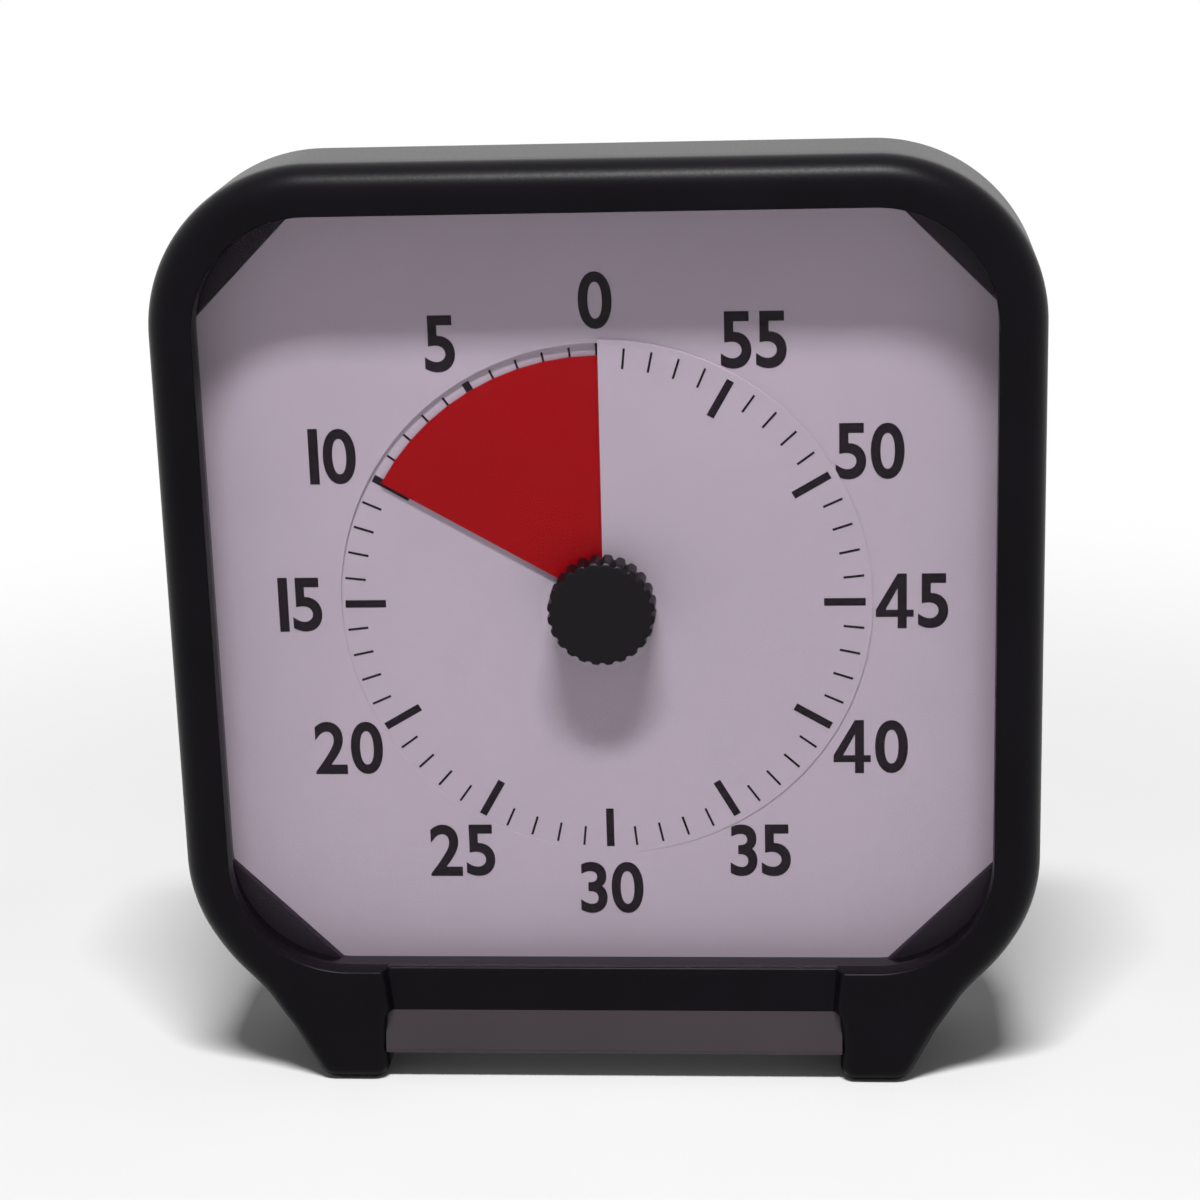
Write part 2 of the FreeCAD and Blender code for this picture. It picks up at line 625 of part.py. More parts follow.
def rotor_magnet():
    """The ring magnet on the rotor's arbor."""
    x, z = arbor_places()[4]
    start = STATOR_DEPTH + STATOR_THICKNESS / 2 - MAGNET_LENGTH / 2 + SEAT_CLEARANCE
    return tube(MAGNET_RADIUS, PIVOT_RADIUS + FIT_CLEARANCE, start, start + MAGNET_LENGTH, x, z)


def clutch_spring():
    """The thin friction washer between the arbor's collar and the centre wheel."""
    start = CENTRE_WHEEL_DEPTH - CLUTCH_THICKNESS - FIT_CLEARANCE / 2
    return tube(CLUTCH_RADIUS, ARBOR_WHEEL_RADIUS + RUNNING_CLEARANCE, start, start + CLUTCH_THICKNESS - FIT_CLEARANCE)


def half_shell(depth0, depth1, open_end):
    """One half of the movement case, a box open at one end."""
    half = MOVEMENT_SIZE / 2
    wall = MOVEMENT_WALL
    outer = rounded_slab(half, half, MOVEMENT_ROUND, depth0, depth1, DIAL_Z)
    if open_end == "back":
        cavity = rounded_slab(half - wall, half - wall, MOVEMENT_ROUND - wall, depth0 + wall, depth1 + 1, DIAL_Z)
    else:
        cavity = rounded_slab(half - wall, half - wall, MOVEMENT_ROUND - wall, depth0 - 1, depth1 - wall, DIAL_Z)
    return outer.cut(cavity)


def movement_front():
    """The front half of the movement case, with the bush seat and blind pivot holes."""
    plate_back = MOVEMENT_FRONT + MOVEMENT_WALL
    shell = half_shell(MOVEMENT_FRONT, MOVEMENT_SPLIT, "back")
    holes = [rod(BUSH_RADIUS + FIT_CLEARANCE, MOVEMENT_FRONT - 1, plate_back + 1)]
    holes.append(rod(BUSH_FLANGE_RADIUS + FIT_CLEARANCE, plate_back - BUSH_FLANGE_THICKNESS, plate_back + 1))
    for x, z in arbor_places()[1:]:
        holes.append(rod(PIVOT_RADIUS + RUNNING_CLEARANCE, plate_back - PIVOT_DEPTH, plate_back + 1, x, z))
    return shell.cut(holes)


def movement_back():
    """The back half of the movement case, with pivot holes, board pillars and lead holes."""
    inner = MOVEMENT_BACK - MOVEMENT_WALL
    shell = half_shell(MOVEMENT_SPLIT, MOVEMENT_BACK, "front")
    x0, x1, z0, z1 = BOARD_BOX
    pillars = [block(x0 + 1, x0 + 4, BOARD_DEPTH + BOARD_THICKNESS, inner + 0.5, DIAL_Z + z, DIAL_Z + z + 3)
               for z in (z0 + 1, z1 - 4)]
    shell = shell.fuse(pillars)
    holes = [rod(ARBOR_PIVOT_RADIUS + RUNNING_CLEARANCE, inner - 1, inner + PIVOT_DEPTH)]
    for x, z in arbor_places()[1:]:
        holes.append(rod(PIVOT_RADIUS + RUNNING_CLEARANCE, inner - 1, inner + PIVOT_DEPTH, x, z))
    bottom = DIAL_Z - MOVEMENT_SIZE / 2
    for x in (POSITIVE_ENTRY_X, NEGATIVE_ENTRY_X):
        start = place(x, LEAD_DEPTH, bottom - 1)
        holes.append(Part.makeCylinder(LEAD_RADIUS + RUNNING_CLEARANCE, MOVEMENT_WALL + 2, start, V(0, 0, 1)))
    top = DIAL_Z + MOVEMENT_SIZE / 2
    x0, x1 = ribbon_sides()
    gap = RUNNING_CLEARANCE
    front, back = ribbon_depths()
    holes.append(block(x0 - gap, x1 + gap, front - gap, back + gap, top - MOVEMENT_WALL - 1, top + 1))
    return shell.cut(holes)


def bush():
    """The threaded bush that carries the setting arbor and clamps the movement."""
    plate_back = MOVEMENT_FRONT + MOVEMENT_WALL
    flange_front = plate_back - BUSH_FLANGE_THICKNESS
    body = rod(BUSH_RADIUS, BUSH_FRONT, flange_front)
    body = body.fuse(rod(BUSH_FLANGE_RADIUS, flange_front, plate_back))
    return body.cut(rod(ARBOR_MAIN_RADIUS + RUNNING_CLEARANCE, BUSH_FRONT - 1, plate_back + 1))


def bush_washer():
    """The steel washer under the nut."""
    return tube(WASHER_RADIUS, BUSH_RADIUS + FIT_CLEARANCE, NUT_BACK, CARRIER_FRONT)


def bush_nut():
    """The hexagonal nut on the bush."""
    body = hexagon(NUT_FLATS, NUT_BACK - NUT_THICKNESS, NUT_BACK)
    return body.cut(rod(BUSH_RADIUS + FIT_CLEARANCE, NUT_BACK - NUT_THICKNESS - 1, NUT_BACK + 1))


def movement_carrier():
    """The plate behind the disk that carries the movement on the dial's posts."""
    half = CARRIER_SIZE / 2
    plate = rounded_slab(half, half, CARRIER_ROUND, CARRIER_FRONT, MOVEMENT_FRONT, DIAL_Z)
    holes = [rod(BUSH_RADIUS + FIT_CLEARANCE, CARRIER_FRONT - 1, MOVEMENT_FRONT + 1)]
    for x, z in post_places():
        holes.append(rod(SMALL_SCREW_RADIUS + FIT_CLEARANCE, CARRIER_FRONT - 1, MOVEMENT_FRONT + 1, x, z))
    return plate.cut(holes)


def stator():
    """The motor's iron: a closed frame with the rotor's hole below and the coil's core above."""
    back = STATOR_DEPTH + STATOR_THICKNESS
    rotor_x, rotor_z = arbor_places()[4]
    arm = MAGNET_RADIUS
    left, right = COIL_LEFT - arm, COIL_RIGHT + arm
    coil_z = DIAL_Z + COIL_CENTRE_Z
    top = coil_z + CORE_HEIGHT / 2
    yoke_bottom = rotor_z - MAGNET_RADIUS - STATOR_GAP - 1.2
    yoke_top = rotor_z + MAGNET_RADIUS + STATOR_GAP + 1.2
    plate = block(left, right, STATOR_DEPTH, back, yoke_bottom, top)
    window = block(COIL_LEFT, COIL_RIGHT, STATOR_DEPTH - 1, back + 1, yoke_top, top - CORE_HEIGHT)
    hole = rod(MAGNET_RADIUS + STATOR_GAP, STATOR_DEPTH - 1, back + 1, rotor_x, rotor_z)
    arbor_hole = rod(ARBOR_PIVOT_RADIUS + 1, STATOR_DEPTH - 1, back + 1)
    return plate.cut([window, hole, arbor_hole])


def coil_bobbin():
    """The coil's former, with a flange at each end."""
    middle = STATOR_DEPTH + STATOR_THICKNESS / 2
    coil_z = DIAL_Z + COIL_CENTRE_Z
    half = CORE_HEIGHT / 2 + BOBBIN_WALL
    deep = STATOR_THICKNESS / 2 + BOBBIN_WALL
    gap = RUNNING_CLEARANCE
    x0, x1 = COIL_LEFT + gap, COIL_RIGHT - gap
    body = block(x0, x1, middle - deep, middle + deep, coil_z - half, coil_z + half)
    for start in (x0, x1 - FLANGE_THICKNESS):
        body = body.fuse(block(start, start + FLANGE_THICKNESS, middle - FLANGE_DEPTH / 2,
                               middle + FLANGE_DEPTH / 2, coil_z - FLANGE_HEIGHT / 2, coil_z + FLANGE_HEIGHT / 2))
    core = block(x0 - 1, x1 + 1, middle - STATOR_THICKNESS / 2 - gap, middle + STATOR_THICKNESS / 2 + gap,
                 coil_z - CORE_HEIGHT / 2 - gap, coil_z + CORE_HEIGHT / 2 + gap)
    return body.cut(core)


def coil_winding():
    """The copper winding between the flanges."""
    middle = STATOR_DEPTH + STATOR_THICKNESS / 2
    coil_z = DIAL_Z + COIL_CENTRE_Z
    gap = RUNNING_CLEARANCE
    x0 = COIL_LEFT + gap + FLANGE_THICKNESS + FIT_CLEARANCE
    x1 = COIL_RIGHT - gap - FLANGE_THICKNESS - FIT_CLEARANCE
    deep = FLANGE_DEPTH / 2 - WINDING_TRIM
    high = FLANGE_HEIGHT / 2 - WINDING_TRIM
    body = block(x0, x1, middle - deep, middle + deep, coil_z - high, coil_z + high)
    body = body.makeFillet(1.2, [e for e in body.Edges if abs(e.tangentAt(e.FirstParameter).x) > 1 - TINY])
    core_deep = STATOR_THICKNESS / 2 + BOBBIN_WALL + FIT_CLEARANCE
    core_high = CORE_HEIGHT / 2 + BOBBIN_WALL + FIT_CLEARANCE
    return body.cut(block(x0 - 1, x1 + 1, middle - core_deep, middle + core_deep,
                          coil_z - core_high, coil_z + core_high))


def circuit_board():
    """The movement's small circuit board."""
    x0, x1, z0, z1 = BOARD_BOX
    return block(x0, x1, BOARD_DEPTH, BOARD_DEPTH + BOARD_THICKNESS, DIAL_Z + z0, DIAL_Z + z1)


def quartz_can():
    """The quartz crystal's can, lying on the board."""
    x0, x1, z0, z1 = BOARD_BOX
    start = place(x0 + 4, BOARD_DEPTH - CRYSTAL_RADIUS, DIAL_Z + (z0 + z1) / 2)
    return Part.makeCylinder(CRYSTAL_RADIUS, CRYSTAL_LENGTH, start, V(0, 0, 1))


def driver_chip():
    """The epoxy drop over the driver chip."""
    x0, x1, z0, z1 = BOARD_BOX
    body = rod(CHIP_RADIUS, BOARD_DEPTH - CHIP_THICKNESS, BOARD_DEPTH, x1 - 5, DIAL_Z + (z0 + z1) / 2)
    return body.makeFillet(CHIP_THICKNESS / 2, edges_at_depth(body, BOARD_DEPTH - CHIP_THICKNESS))


def back_cover():
    """The back half of the case: shell, rear feet, bosses, battery tray, lid rails and holes."""
    shell = body_slab(BACK_INSET, FRAME_DEPTH, BACK_DEPTH)
    shell = shell.makeFillet(BACK_ROUND, edges_at_depth(shell, BACK_DEPTH))
    shell = shell.fuse(both_sides(foot(FRAME_DEPTH, FOOT_BACK_DEPTH, FOOT_BACK_DEPTH)))
    rail_x = LID_HALF_WIDTH + LID_CLEARANCE + RAIL_WIDTH
    rail_top = LID_TOP + RAIL_WIDTH / 2
    shell = shell.fuse(block(-rail_x, rail_x, BACK_DEPTH - BACK_WALL, TOTAL_DEPTH, RAIL_BOTTOM, rail_top))
    inner = BACK_INSET + BACK_WALL
    cavity = body_slab(inner, FRAME_DEPTH - 1, BACK_DEPTH - BACK_WALL)
    shell = shell.cut(cavity)

    tray_x = TRAY_HALF_LENGTH + TRAY_WALL
    tray_z = TRAY_HALF_HEIGHT + TRAY_WALL
    additions = [block(-tray_x, tray_x, TRAY_FLOOR - TRAY_WALL, BACK_DEPTH, CELL_Z - tray_z, CELL_Z + tray_z)]
    additions += [rod(BOSS_RADIUS, FRAME_DEPTH, BACK_DEPTH - BACK_WALL / 2, x, z) for x, z in corner_boss_places()]
    board_back = SOUND_BOARD_DEPTH + SOUND_BOARD_THICKNESS
    sound_z = BODY_Z + SOUND_Z
    for side in (-1, 1):
        additions.append(rod(SOUND_POST_RADIUS, board_back, BACK_DEPTH - BACK_WALL / 2, side * SOUND_POST_X, sound_z))
    shell = shell.fuse(additions)

    cuts = [block(-TRAY_HALF_LENGTH, TRAY_HALF_LENGTH, TRAY_FLOOR, TOTAL_DEPTH + 1,
                  CELL_Z - TRAY_HALF_HEIGHT, CELL_Z + TRAY_HALF_HEIGHT)]
    cuts += lid_pocket(rail_top)
    cuts += tag_slots(tray_z)
    for x, z in corner_boss_places():
        cuts.append(rod(CASE_SCREW_RADIUS + FIT_CLEARANCE, FRAME_DEPTH - 1, BACK_DEPTH, x, z))
        cuts.append(rod(CASE_SCREW_HEAD_RADIUS + SEAT_CLEARANCE, CASE_SCREW_HEAD_DEPTH, TOTAL_DEPTH, x, z))
    tip = SOUND_BOARD_DEPTH + SMALL_SCREW_LENGTH
    for side in (-1, 1):
        cuts.append(rod(SMALL_SCREW_RADIUS + FIT_CLEARANCE, board_back - 1, tip + 0.2, side * SOUND_POST_X, sound_z))
    cuts += sound_holes() + [switch_slot(), keyhole()]
    return shell.cut(cuts).removeSplitter()


def lid_pocket(rail_top):
    """The pocket that the battery lid lies in, open upwards, with a groove along each rail."""
    gap = LID_CLEARANCE
    half = LID_HALF_WIDTH + gap
    floor = TRAY_MOUTH
    groove_back = floor + gap + LID_FLANGE_THICKNESS + gap
    pocket = block(-half, half, floor, TOTAL_DEPTH + 1, LID_BOTTOM - gap, rail_top + 1)
    groove = block(-half - LID_FLANGE, half + LID_FLANGE, floor, groove_back, LID_BOTTOM - gap, rail_top + 1)
    return [pocket, groove]


def tag_slots(tray_z):
    """The two slots in the tray's upper wall that the contact tags pass through."""
    gap = RUNNING_CLEARANCE
    slots = []
    for x0, x1 in (positive_plate_sides(), negative_plate_sides()):
        slots.append(block(x0 - gap, x1 + gap, LEAD_DEPTH - TAG_WIDTH / 2 - gap, LEAD_DEPTH + TAG_WIDTH / 2 + gap,
                           CELL_Z + TRAY_HALF_HEIGHT - 1, CELL_Z + tray_z + 1))
    return slots


def sound_holes():
    """The round holes over the buzzer, one in the middle and six around it."""
    z = BODY_Z + SOUND_Z
    places = [(BUZZER_X, z)]
    for k in range(6):
        turn = math.radians(60 * k)
        places.append((BUZZER_X + SOUND_HOLE_RING * math.cos(turn), z + SOUND_HOLE_RING * math.sin(turn)))
    return [rod(SOUND_HOLE_RADIUS, BACK_DEPTH - BACK_WALL - 1, BACK_DEPTH + 1, x, z) for x, z in places]


def switch_slot():
    """The slot for the sound switch's button, long enough for its travel."""
    half_x = SLIDER_WIDTH / 2 + SLIDER_CLEARANCE
    z = BODY_Z + SOUND_Z
    low = z - SLIDER_HEIGHT / 2 - SWITCH_TRAVEL / 2 - SLIDER_CLEARANCE
    high = z + SLIDER_HEIGHT / 2 + SWITCH_TRAVEL / 2 + SLIDER_CLEARANCE
    return block(SWITCH_X - half_x, SWITCH_X + half_x, BACK_DEPTH - BACK_WALL - 1, BACK_DEPTH + 1, low, high)


def keyhole():
    """The keyhole for a wall screw: a round entry with a narrow slot above it."""
    z = BODY_Z + KEYHOLE_Z
    start, end = BACK_DEPTH - BACK_WALL - 1, BACK_DEPTH + 1
    cut = rod(KEYHOLE_RADIUS, start, end, 0, z - KEYHOLE_RISE)
    cut = cut.fuse(rod(KEYHOLE_SLOT_RADIUS, start, end, 0, z))
    return cut.fuse(block(-KEYHOLE_SLOT_RADIUS, KEYHOLE_SLOT_RADIUS, start, end, z - KEYHOLE_RISE, z))


def battery_lid():
    """The sliding battery lid, with a flange in each rail and finger grooves near its top."""
    gap = LID_CLEARANCE
    front = TRAY_MOUTH + gap
    plate = block(-LID_HALF_WIDTH, LID_HALF_WIDTH, front, front + LID_THICKNESS, LID_BOTTOM, LID_TOP)
    reach = LID_HALF_WIDTH + LID_FLANGE
    plate = plate.fuse(block(-reach, reach, front, front + LID_FLANGE_THICKNESS, LID_BOTTOM, LID_TOP))
    back = front + LID_THICKNESS
    grooves = []
    for k in range(LID_GROOVES):
        z = LID_TOP - LID_GROOVE_PITCH * (k + 1.5)
        grooves.append(block(-9, 9, back - LID_GROOVE_DEPTH, back + 1, z, z + LID_GROOVE_PITCH / 2))
    return plate.cut(grooves)


def battery_cell():
    """The single cell, lying along X with its plus end to the right."""
    end = TRAY_HALF_LENGTH - CONTACT_THICKNESS - SEAT_CLEARANCE
    start = end - CELL_LENGTH
    shoulder = CELL_LENGTH - CELL_NUB_LENGTH
    body = Part.makeCylinder(CELL_RADIUS, shoulder, place(start, CELL_DEPTH, CELL_Z), V(1, 0, 0))
    body = body.makeFillet(0.6, [e for e in body.Edges if e.Length > CELL_RADIUS * 6])
    return body.fuse(Part.makeCylinder(CELL_NUB_RADIUS, CELL_LENGTH - 0.1, place(start + 0.1, CELL_DEPTH, CELL_Z),
                                       V(1, 0, 0)))


def positive_plate_sides():
    """The left and right faces of the plus contact."""
    return TRAY_HALF_LENGTH - CONTACT_THICKNESS, TRAY_HALF_LENGTH - FIT_CLEARANCE


def negative_plate_sides():
    """The left and right faces of the minus contact's plate."""
    return -TRAY_HALF_LENGTH + FIT_CLEARANCE, -TRAY_HALF_LENGTH + CONTACT_THICKNESS


def contact_plate(sides):
    """A contact plate against the tray's end wall, with a tag up through the slot."""
    x0, x1 = sides
    half = CONTACT_WIDTH / 2
    top = CELL_Z + TRAY_HALF_HEIGHT + TRAY_WALL + TAG_LENGTH
    plate = block(x0, x1, CELL_DEPTH - half, CELL_DEPTH + half, CELL_Z - half, CELL_Z + half)
    tag = block(x0, x1, LEAD_DEPTH - TAG_WIDTH / 2, LEAD_DEPTH + TAG_WIDTH / 2, CELL_Z, top)
    return plate.fuse(tag)


def contact_positive():
    """The plus contact."""
    return contact_plate(positive_plate_sides())


def contact_negative():
    """The minus contact: a plate with a folded leaf that presses on the cell."""
    x0, x1 = negative_plate_sides()
    cell_start = TRAY_HALF_LENGTH - CONTACT_THICKNESS - SEAT_CLEARANCE - CELL_LENGTH
    t = CONTACT_THICKNESS
    tip = cell_start - SEAT_CLEARANCE
    outline = [(x0, -4.5), (tip - t, 0.6), (tip - t, 1.8), (x0, 4.6), (x1, 4.6), (tip, 2.2), (tip, 0.2)]
    outline += [(x1, -4.5)]
    points = [place(x, CELL_DEPTH + d, CELL_Z - 3.0) for x, d in outline + outline[:1]]
    leaf = Part.Face(Part.makePolygon(points)).extrude(V(0, 0, 6.0))
    return contact_plate((x0, x1)).fuse(leaf).removeSplitter()


def lead(points, radius, bend):
    """A round lead through (x, z) points at one depth, straight runs joined by tangent arcs."""
    route = [place(x, LEAD_DEPTH, z) for x, z in points]
    edges = []
    start = route[0]
    for before, corner, after in zip(route, route[1:], route[2:]):
        back = (before - corner).normalize()
        ahead = (after - corner).normalize()
        half = (math.pi - back.getAngle(ahead)) / 2
        trim = bend * math.tan(half)
        first = corner + back * trim
        last = corner + ahead * trim
        middle_way = (back + ahead).normalize()
        middle = corner + middle_way * (bend / math.cos(half) - bend)
        edges.append(Part.LineSegment(start, first).toShape())
        edges.append(Part.Arc(first, middle, last).toShape())
        start = last
    edges.append(Part.LineSegment(start, route[-1]).toShape())
    path = Part.Wire(edges)
    ring = Part.Wire(Part.makeCircle(radius, route[0], route[1] - route[0]))
    return path.makePipeShell([ring], True, False)


def lead_positive():
    """The lead from the plus contact to the movement's board."""
    x = sum(positive_plate_sides()) / 2
    start = CELL_Z + TRAY_HALF_HEIGHT + TRAY_WALL + TAG_LENGTH
    end = DIAL_Z + BOARD_BOX[2]
    return lead([(x, start), (x, start + 6), (POSITIVE_ENTRY_X, start + 12), (POSITIVE_ENTRY_X, end)],
                LEAD_RADIUS, LEAD_BEND)


def lead_negative():
    """The lead from the minus contact to the movement's board."""
    x = sum(negative_plate_sides()) / 2
    start = CELL_Z + TRAY_HALF_HEIGHT + TRAY_WALL + TAG_LENGTH
    end = DIAL_Z + BOARD_BOX[2]
    return lead([(x, start), (x, start + 6), (NEGATIVE_ENTRY_X, start + 12), (NEGATIVE_ENTRY_X, end)],
                LEAD_RADIUS, LEAD_BEND)


def sound_board():
    """The board behind the upper back wall that carries the buzzer and the switch."""
    z = BODY_Z + SOUND_Z
    half_x, half_z = SOUND_BOARD_WIDTH / 2, SOUND_BOARD_HEIGHT / 2
    back = SOUND_BOARD_DEPTH + SOUND_BOARD_THICKNESS
    board = block(-half_x, half_x, SOUND_BOARD_DEPTH, back, z - half_z, z + half_z)
    return board.cut([rod(SMALL_SCREW_RADIUS + FIT_CLEARANCE, SOUND_BOARD_DEPTH - 1, back + 1, side * SOUND_POST_X, z)
                      for side in (-1, 1)])


def buzzer():
    """The round buzzer on the sound board."""
    start = SOUND_BOARD_DEPTH + SOUND_BOARD_THICKNESS
    body = rod(BUZZER_RADIUS, start, start + BUZZER_THICKNESS, BUZZER_X, BODY_Z + SOUND_Z)
    return body.cut(rod(1.2, start + BUZZER_THICKNESS - 1.5, start + BUZZER_THICKNESS + 1, BUZZER_X, BODY_Z + SOUND_Z))


def switch_body():
    """The slide switch's housing, open behind for its button."""
    wide, deep, high = SWITCH_BODY
    start = SOUND_BOARD_DEPTH + SOUND_BOARD_THICKNESS
    z = BODY_Z + SOUND_Z
    body = block(SWITCH_X - wide / 2, SWITCH_X + wide / 2, start, start + deep, z - high, z + high)
    gap = SLIDER_CLEARANCE
    half = SLIDER_HEIGHT / 2 + SWITCH_TRAVEL / 2 + SLIDER_FLANGE + gap
    side = SLIDER_WIDTH / 2 + SLIDER_FLANGE + gap
    pocket = block(SWITCH_X - side, SWITCH_X + side, start + 1.0, start + deep - 1.0, z - half, z + half)
    mouth_side = SLIDER_WIDTH / 2 + gap
    mouth_half = SLIDER_HEIGHT / 2 + SWITCH_TRAVEL / 2 + gap
    mouth = block(SWITCH_X - mouth_side, SWITCH_X + mouth_side, start + deep - 2, start + deep + 1,
                  z - mouth_half, z + mouth_half)
    return body.cut([pocket, mouth])


def switch_slider():
    """The switch's button, at the lower end of its travel, with a flange inside the housing."""
    _, deep, _ = SWITCH_BODY
    start = SOUND_BOARD_DEPTH + SOUND_BOARD_THICKNESS
    z = BODY_Z + SOUND_Z - SWITCH_TRAVEL / 2
    gap = SLIDER_CLEARANCE
    half_x, half_z = SLIDER_WIDTH / 2, SLIDER_HEIGHT / 2
    button = block(SWITCH_X - half_x, SWITCH_X + half_x, start + 1 + gap, BACK_DEPTH + SLIDER_PROUD,
                   z - half_z, z + half_z)
    wide = half_x + SLIDER_FLANGE
    high = half_z + SLIDER_FLANGE
    flange = block(SWITCH_X - wide, SWITCH_X + wide, start + 1 + gap, start + deep - 1 - gap, z - high, z + high)
    return button.fuse(flange)


def ribbon_sides():
    """The left and right edges of the ribbon lead."""
    return SWITCH_X - RIBBON_WIDTH / 2 - 9, SWITCH_X + RIBBON_WIDTH / 2 - 9


def ribbon_depths():
    """The front and back of the ribbon lead where it leaves the movement."""
    return SOUND_BOARD_DEPTH - SEAT_CLEARANCE - RIBBON_THICKNESS, SOUND_BOARD_DEPTH - SEAT_CLEARANCE


def ribbon_lead():
    """The flat ribbon from the movement to the front of the sound board."""
    x0, x1 = ribbon_sides()
    front, back = ribbon_depths()
    bottom = DIAL_Z + MOVEMENT_SIZE / 2 - MOVEMENT_WALL
    top = BODY_Z + SOUND_Z - SOUND_BOARD_HEIGHT / 2 + 4
    return block(x0, x1, front, back, bottom, top)


def case_screws():
    """The four long screws that hold the two halves of the case together."""
    return [screw(x, z, CASE_SCREW_RADIUS, CASE_SCREW_HEAD_RADIUS, CASE_SCREW_TIP_DEPTH,
                  CASE_SCREW_HEAD_DEPTH, 1.8) for x, z in corner_boss_places()]


def small_screws(places, head_depth):
    """Small screws put in from behind, whose heads lie on a surface at one depth."""
    return [screw(x, z, SMALL_SCREW_RADIUS, SMALL_SCREW_HEAD_RADIUS, head_depth - SMALL_SCREW_LENGTH,
                  head_depth, SMALL_SCREW_HEAD) for x, z in places]


def board_screws():
    """The two screws that hold the sound board to its posts, put in from the front."""
    z = BODY_Z + SOUND_Z
    screws = []
    for x in (-SOUND_POST_X, SOUND_POST_X):
        body = rod(SMALL_SCREW_RADIUS, SOUND_BOARD_DEPTH, SOUND_BOARD_DEPTH + SMALL_SCREW_LENGTH, x, z)
        head = rod(SMALL_SCREW_HEAD_RADIUS, SOUND_BOARD_DEPTH - SMALL_SCREW_HEAD, SOUND_BOARD_DEPTH, x, z)
        screws.append(body.fuse(head))
    return screws


NODES = {
    "front_frame": front_frame,
    "lens": lens,
    "dial_plate": dial_plate,
    "red_disk": red_disk,
    "knob": knob,
    "setting_arbor": setting_arbor,
    "clutch_spring": clutch_spring,
    "centre_wheel": centre_wheel,
    "third_wheel": third_wheel,
    "fourth_wheel": fourth_wheel,
    "fifth_wheel": fifth_wheel,
    "rotor_pinion": rotor_pinion,
    "rotor_magnet": rotor_magnet,
    "movement_front": movement_front,
    "movement_back": movement_back,
    "movement_carrier": movement_carrier,
    "bush": bush,
    "bush_washer": bush_washer,
    "bush_nut": bush_nut,
    "stator": stator,
    "coil_bobbin": coil_bobbin,
    "coil_winding": coil_winding,
    "circuit_board": circuit_board,
    "quartz_can": quartz_can,
    "driver_chip": driver_chip,
    "back_cover": back_cover,
    "battery_lid": battery_lid,
    "battery_cell": battery_cell,
    "contact_positive": contact_positive,
    "contact_negative": contact_negative,
    "lead_positive": lead_positive,
    "lead_negative": lead_negative,
    "sound_board": sound_board,
    "buzzer": buzzer,
    "switch_body": switch_body,
    "switch_slider": switch_slider,
    "ribbon_lead": ribbon_lead,
    "case_screws": case_screws,
    "dial_screws": lambda: small_screws(dial_ear_places(), DIAL_DEPTH + DIAL_THICKNESS),
    "carrier_screws": lambda: small_screws(post_places(), MOVEMENT_FRONT),
    "board_screws": board_screws,
}


def main():
    """Build every piece and write one file for each."""
    os.makedirs("parts", exist_ok=True)
    for name, make in NODES.items():
        shape = make()
        if isinstance(shape, list):
            shape = Part.makeCompound(shape)
        solids = shape.Solids
        volume = sum(s.Volume for s in solids)
        print(f"{name:18s} solids {len(solids)} valid {shape.isValid()} volume {volume:.1f}")
        shape.exportStep(f"parts/{name}.step")


main()
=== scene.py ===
"""Looks of the visual countdown timer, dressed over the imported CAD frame.

Lengths are metres. X is to the right seen from the front, +Y goes back and Z is up.
A depth is measured backwards from the front face, so y = depth - 0.022.
Angles on the dial run anticlockwise from the top, as its minutes do.
"""

import json
import logging
import math
from dataclasses import dataclass
from enum import Enum

import bmesh
import bpy
import numpy as np
from mathutils import Matrix, Vector


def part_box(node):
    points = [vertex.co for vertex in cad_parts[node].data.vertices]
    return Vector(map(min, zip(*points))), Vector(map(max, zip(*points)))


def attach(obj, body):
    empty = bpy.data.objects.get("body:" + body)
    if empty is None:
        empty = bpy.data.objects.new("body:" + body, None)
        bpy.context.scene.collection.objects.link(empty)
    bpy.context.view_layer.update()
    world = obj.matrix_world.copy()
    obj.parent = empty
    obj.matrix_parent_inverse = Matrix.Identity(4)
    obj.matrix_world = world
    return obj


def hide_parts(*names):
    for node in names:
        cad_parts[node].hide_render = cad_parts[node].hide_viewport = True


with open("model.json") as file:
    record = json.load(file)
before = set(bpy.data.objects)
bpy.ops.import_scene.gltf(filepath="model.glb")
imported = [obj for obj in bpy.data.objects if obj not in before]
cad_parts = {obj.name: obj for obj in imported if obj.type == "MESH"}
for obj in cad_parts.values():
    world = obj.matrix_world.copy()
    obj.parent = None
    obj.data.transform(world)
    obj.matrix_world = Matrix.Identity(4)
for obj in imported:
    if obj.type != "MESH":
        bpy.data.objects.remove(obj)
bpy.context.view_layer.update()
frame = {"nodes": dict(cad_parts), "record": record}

LOG = logging.getLogger("timer")
FRONT_Y = -0.022
DIAL_Z = 0.1094
BODY_Z = 0.1118
SMOOTH_ANGLE = math.radians(32)

Colour = tuple[float, float, float]


def linear(red: int, green: int, blue: int) -> Colour:
    """A display colour turned into scene light.

    Each channel c of 0 to 255 becomes ((c/255 + 0.055) / 1.055) ** 2.4.

    Args:
        red: Red channel, 0 to 255.
        green: Green channel, 0 to 255.
        blue: Blue channel, 0 to 255.

    Returns:
        The three channels as scene light.
    """
    shares = (np.array([red, green, blue]) / 255 + 0.055) / 1.055
    return tuple(float(c) for c in shares**2.4)


def fill(tree: bpy.types.NodeTree, node: bpy.types.Node, inputs: dict) -> None:
    """Set or link the inputs of a node.

    Args:
        tree: The tree that the node is in.
        node: The node.
        inputs: A number, a colour or a socket to link, for each input by its name or place.
    """
    for place, value in inputs.items():
        if isinstance(value, bpy.types.NodeSocket):
            tree.links.new(value, node.inputs[place])
        else:
            node.inputs[place].default_value = value


